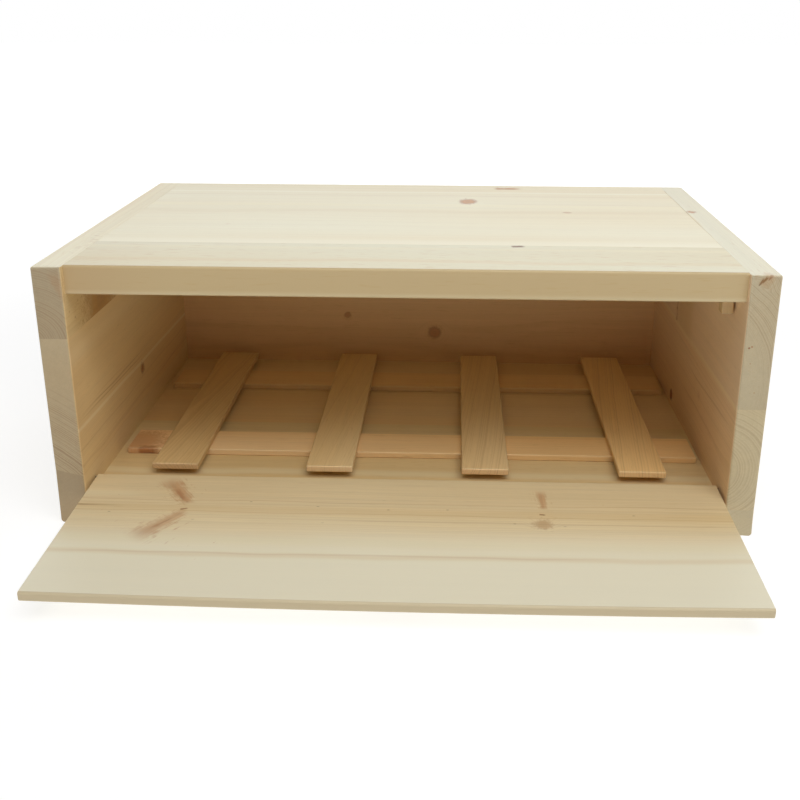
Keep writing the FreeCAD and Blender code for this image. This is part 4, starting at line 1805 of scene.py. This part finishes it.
        slats=(Slat((1.27, 1.13, 1.06), (0.98, 0.85, 0.76), mm(0, 0, 0)),
               Slat((1.12, 1.0, 0.92), (0.93, 0.83, 0.75), mm(0, 30, 0)))),
    "rack_slat": Timber(
        Grain.Y, mm(0, 0), lean=(0.10, 0.02), ring=0.0020, contrast=0.26, face_share=1.5, warmth=0.7,
        wander=0.004,
        # tints above 1, most of all on the ends, are painted light on slats in the box's shade
        slats=(Slat((0.98, 0.86, 0.70), (1.01, 0.83, 0.70), mm(168, 0, -15)),
               Slat((1.06, 0.96, 0.83), (1.38, 1.22, 1.12), mm(350, 0, -22)),
               Slat((1.05, 0.92, 0.76), (1.36, 1.10, 0.90), mm(7, 0, -47)),
               Slat((1.18, 0.98, 0.74), (1.38, 1.16, 0.93), mm(-76, 0, -17)))),
}


# --- Studio -------------------------------------------------------------------------------------------


@dataclass(frozen=True)
class Softbox:
    """One rectangular light, turned towards a point."""

    name: str
    at: Triple
    target: Triple
    size: Pair
    power: float

    def hang(self) -> None:
        """Puts it in the scene."""
        lamp = bpy.data.lights.new(self.name, "AREA")
        lamp.shape = "RECTANGLE"
        lamp.size, lamp.size_y = self.size
        lamp.energy = self.power
        light = bpy.data.objects.new(self.name, lamp)
        light.location = self.at
        light.rotation_mode = "QUATERNION"
        light.rotation_quaternion = (Vector(self.target) - Vector(self.at)).to_track_quat("-Z", "Y")
        bpy.context.scene.collection.objects.link(light)


@dataclass(frozen=True)
class Studio:
    """White floor, three softboxes, a white backdrop and the camera."""

    floor_size: float = 12.0
    floor_tone: float = 0.4
    floor_roughness: float = 0.85
    floor_specular: float = 0.1
    floor_glow: Pair = (0.72, 1.02)   # near the object and far off; keeps the floor white in soft shadow
    glow_edge: Pair = (0.35, 1.2)     # distances between which it changes
    paper_waves: Triple = (900.0, 900.0, 900.0)
    paper_height: float = 8 * MICRON
    camera_at: Triple = (0.0296, -0.7000, 0.3240)
    pitch_deg: float = 18.9
    yaw_deg: float = -2.11
    roll_deg: float = 0.106
    lens: float = 45.03
    sensor: float = 36.0
    shift: Pair = (-0.02075, -0.08225)
    clip: Pair = (0.01, 50.0)
    softboxes: tuple[Softbox, ...] = (
        Softbox("overhead_softbox", (0.15, -0.5, 1.4), (0.0, -0.1, 0.0), (1.6, 1.2), 13.5),
        Softbox("front_softbox", (0.45, -0.95, 1.15), (0.0, -0.1, 0.05), (1.2, 0.8), 5.5),
        Softbox("rear_softbox", (0.0, 2.3, 1.0), (0.0, 0.0, 0.15), (3.2, 1.4), 18.5),
    )

    def make(self) -> None:
        """Sets up everything round the object."""
        self._floor()
        self._camera()
        for softbox in self.softboxes:
            softbox.hang()
        self._backdrop()
        bpy.context.scene.view_settings.view_transform = "Standard"

    def _floor(self) -> None:
        """A wide sheet of pale paper that glows a little."""
        body = bmesh.new()
        bmesh.ops.create_grid(body, x_segments=1, y_segments=1, size=self.floor_size / 2)
        floor = bpy.data.objects.new("floor", mesh_of("floor", body))
        bpy.context.scene.collection.objects.link(floor)
        tree = Surface("floor_paper")
        place = tree.place()
        speck = tree.noise(place * self.paper_waves, 2.0)
        tone = (self.floor_tone,) * 3
        near, far = ((glow,) * 3 for glow in self.floor_glow)
        glow = tree.mix(place.length().ease(*self.glow_edge), near, far)
        floor.data.materials.append(tree.finish({"Base Color": tone, "Roughness": self.floor_roughness,
                                                 "Specular IOR Level": self.floor_specular,
                                                 "Emission Color": glow, "Emission Strength": 1.0,
                                                 "Normal": tree.bump(speck * self.paper_height)}))

    def _camera(self) -> None:
        """The camera, turned by its pitch, yaw and roll."""
        pitch, yaw, roll = (math.radians(angle) for angle in (self.pitch_deg, self.yaw_deg, self.roll_deg))
        ahead = Vector((math.sin(yaw) * math.cos(pitch), math.cos(yaw) * math.cos(pitch), -math.sin(pitch)))
        level = ahead.cross(Vector((0, 0, 1))).normalized()
        right = level * math.cos(roll) + level.cross(ahead) * math.sin(roll)
        up = right.cross(ahead)
        camera = bpy.data.objects.new("camera", bpy.data.cameras.new("camera"))
        turn = Matrix((right, up, -ahead)).transposed().to_4x4()
        camera.matrix_world = Matrix.Translation(self.camera_at) @ turn
        camera.data.sensor_width = self.sensor
        camera.data.lens = self.lens
        camera.data.shift_x, camera.data.shift_y = self.shift
        camera.data.clip_start, camera.data.clip_end = self.clip
        bpy.context.scene.collection.objects.link(camera)
        bpy.context.scene.camera = camera

    @staticmethod
    def _backdrop() -> None:
        """A world that is white to the camera and in reflections, and gives no diffuse light."""
        world = bpy.data.worlds.new("studio_white")
        world.use_nodes = True
        graph = Graph(world.node_tree)
        graph.tree.nodes.clear()
        path = graph.node("ShaderNodeLightPath", {}, {})
        colour = (1.0, 1.0, 1.0)
        white = graph.node("ShaderNodeBackground", {}, {"Color": colour, "Strength": 1.0})
        black = graph.node("ShaderNodeBackground", {}, {"Color": colour, "Strength": 0.0})
        choice = graph.node("ShaderNodeMixShader", {}, {
            0: path.outputs["Is Diffuse Ray"], 1: white.outputs[0], 2: black.outputs[0]})
        graph.node("ShaderNodeOutputWorld", {}, {0: choice.outputs[0]})
        bpy.context.scene.world = world


def main() -> None:
    """Builds everything in order."""
    logging.basicConfig(level=logging.INFO, format="%(message)s")
    Studio().make()
    Carcass().make()
    Flap().make()
    Rack().make()
    Hardware().dress()


if __name__ == "__main__":
    main()
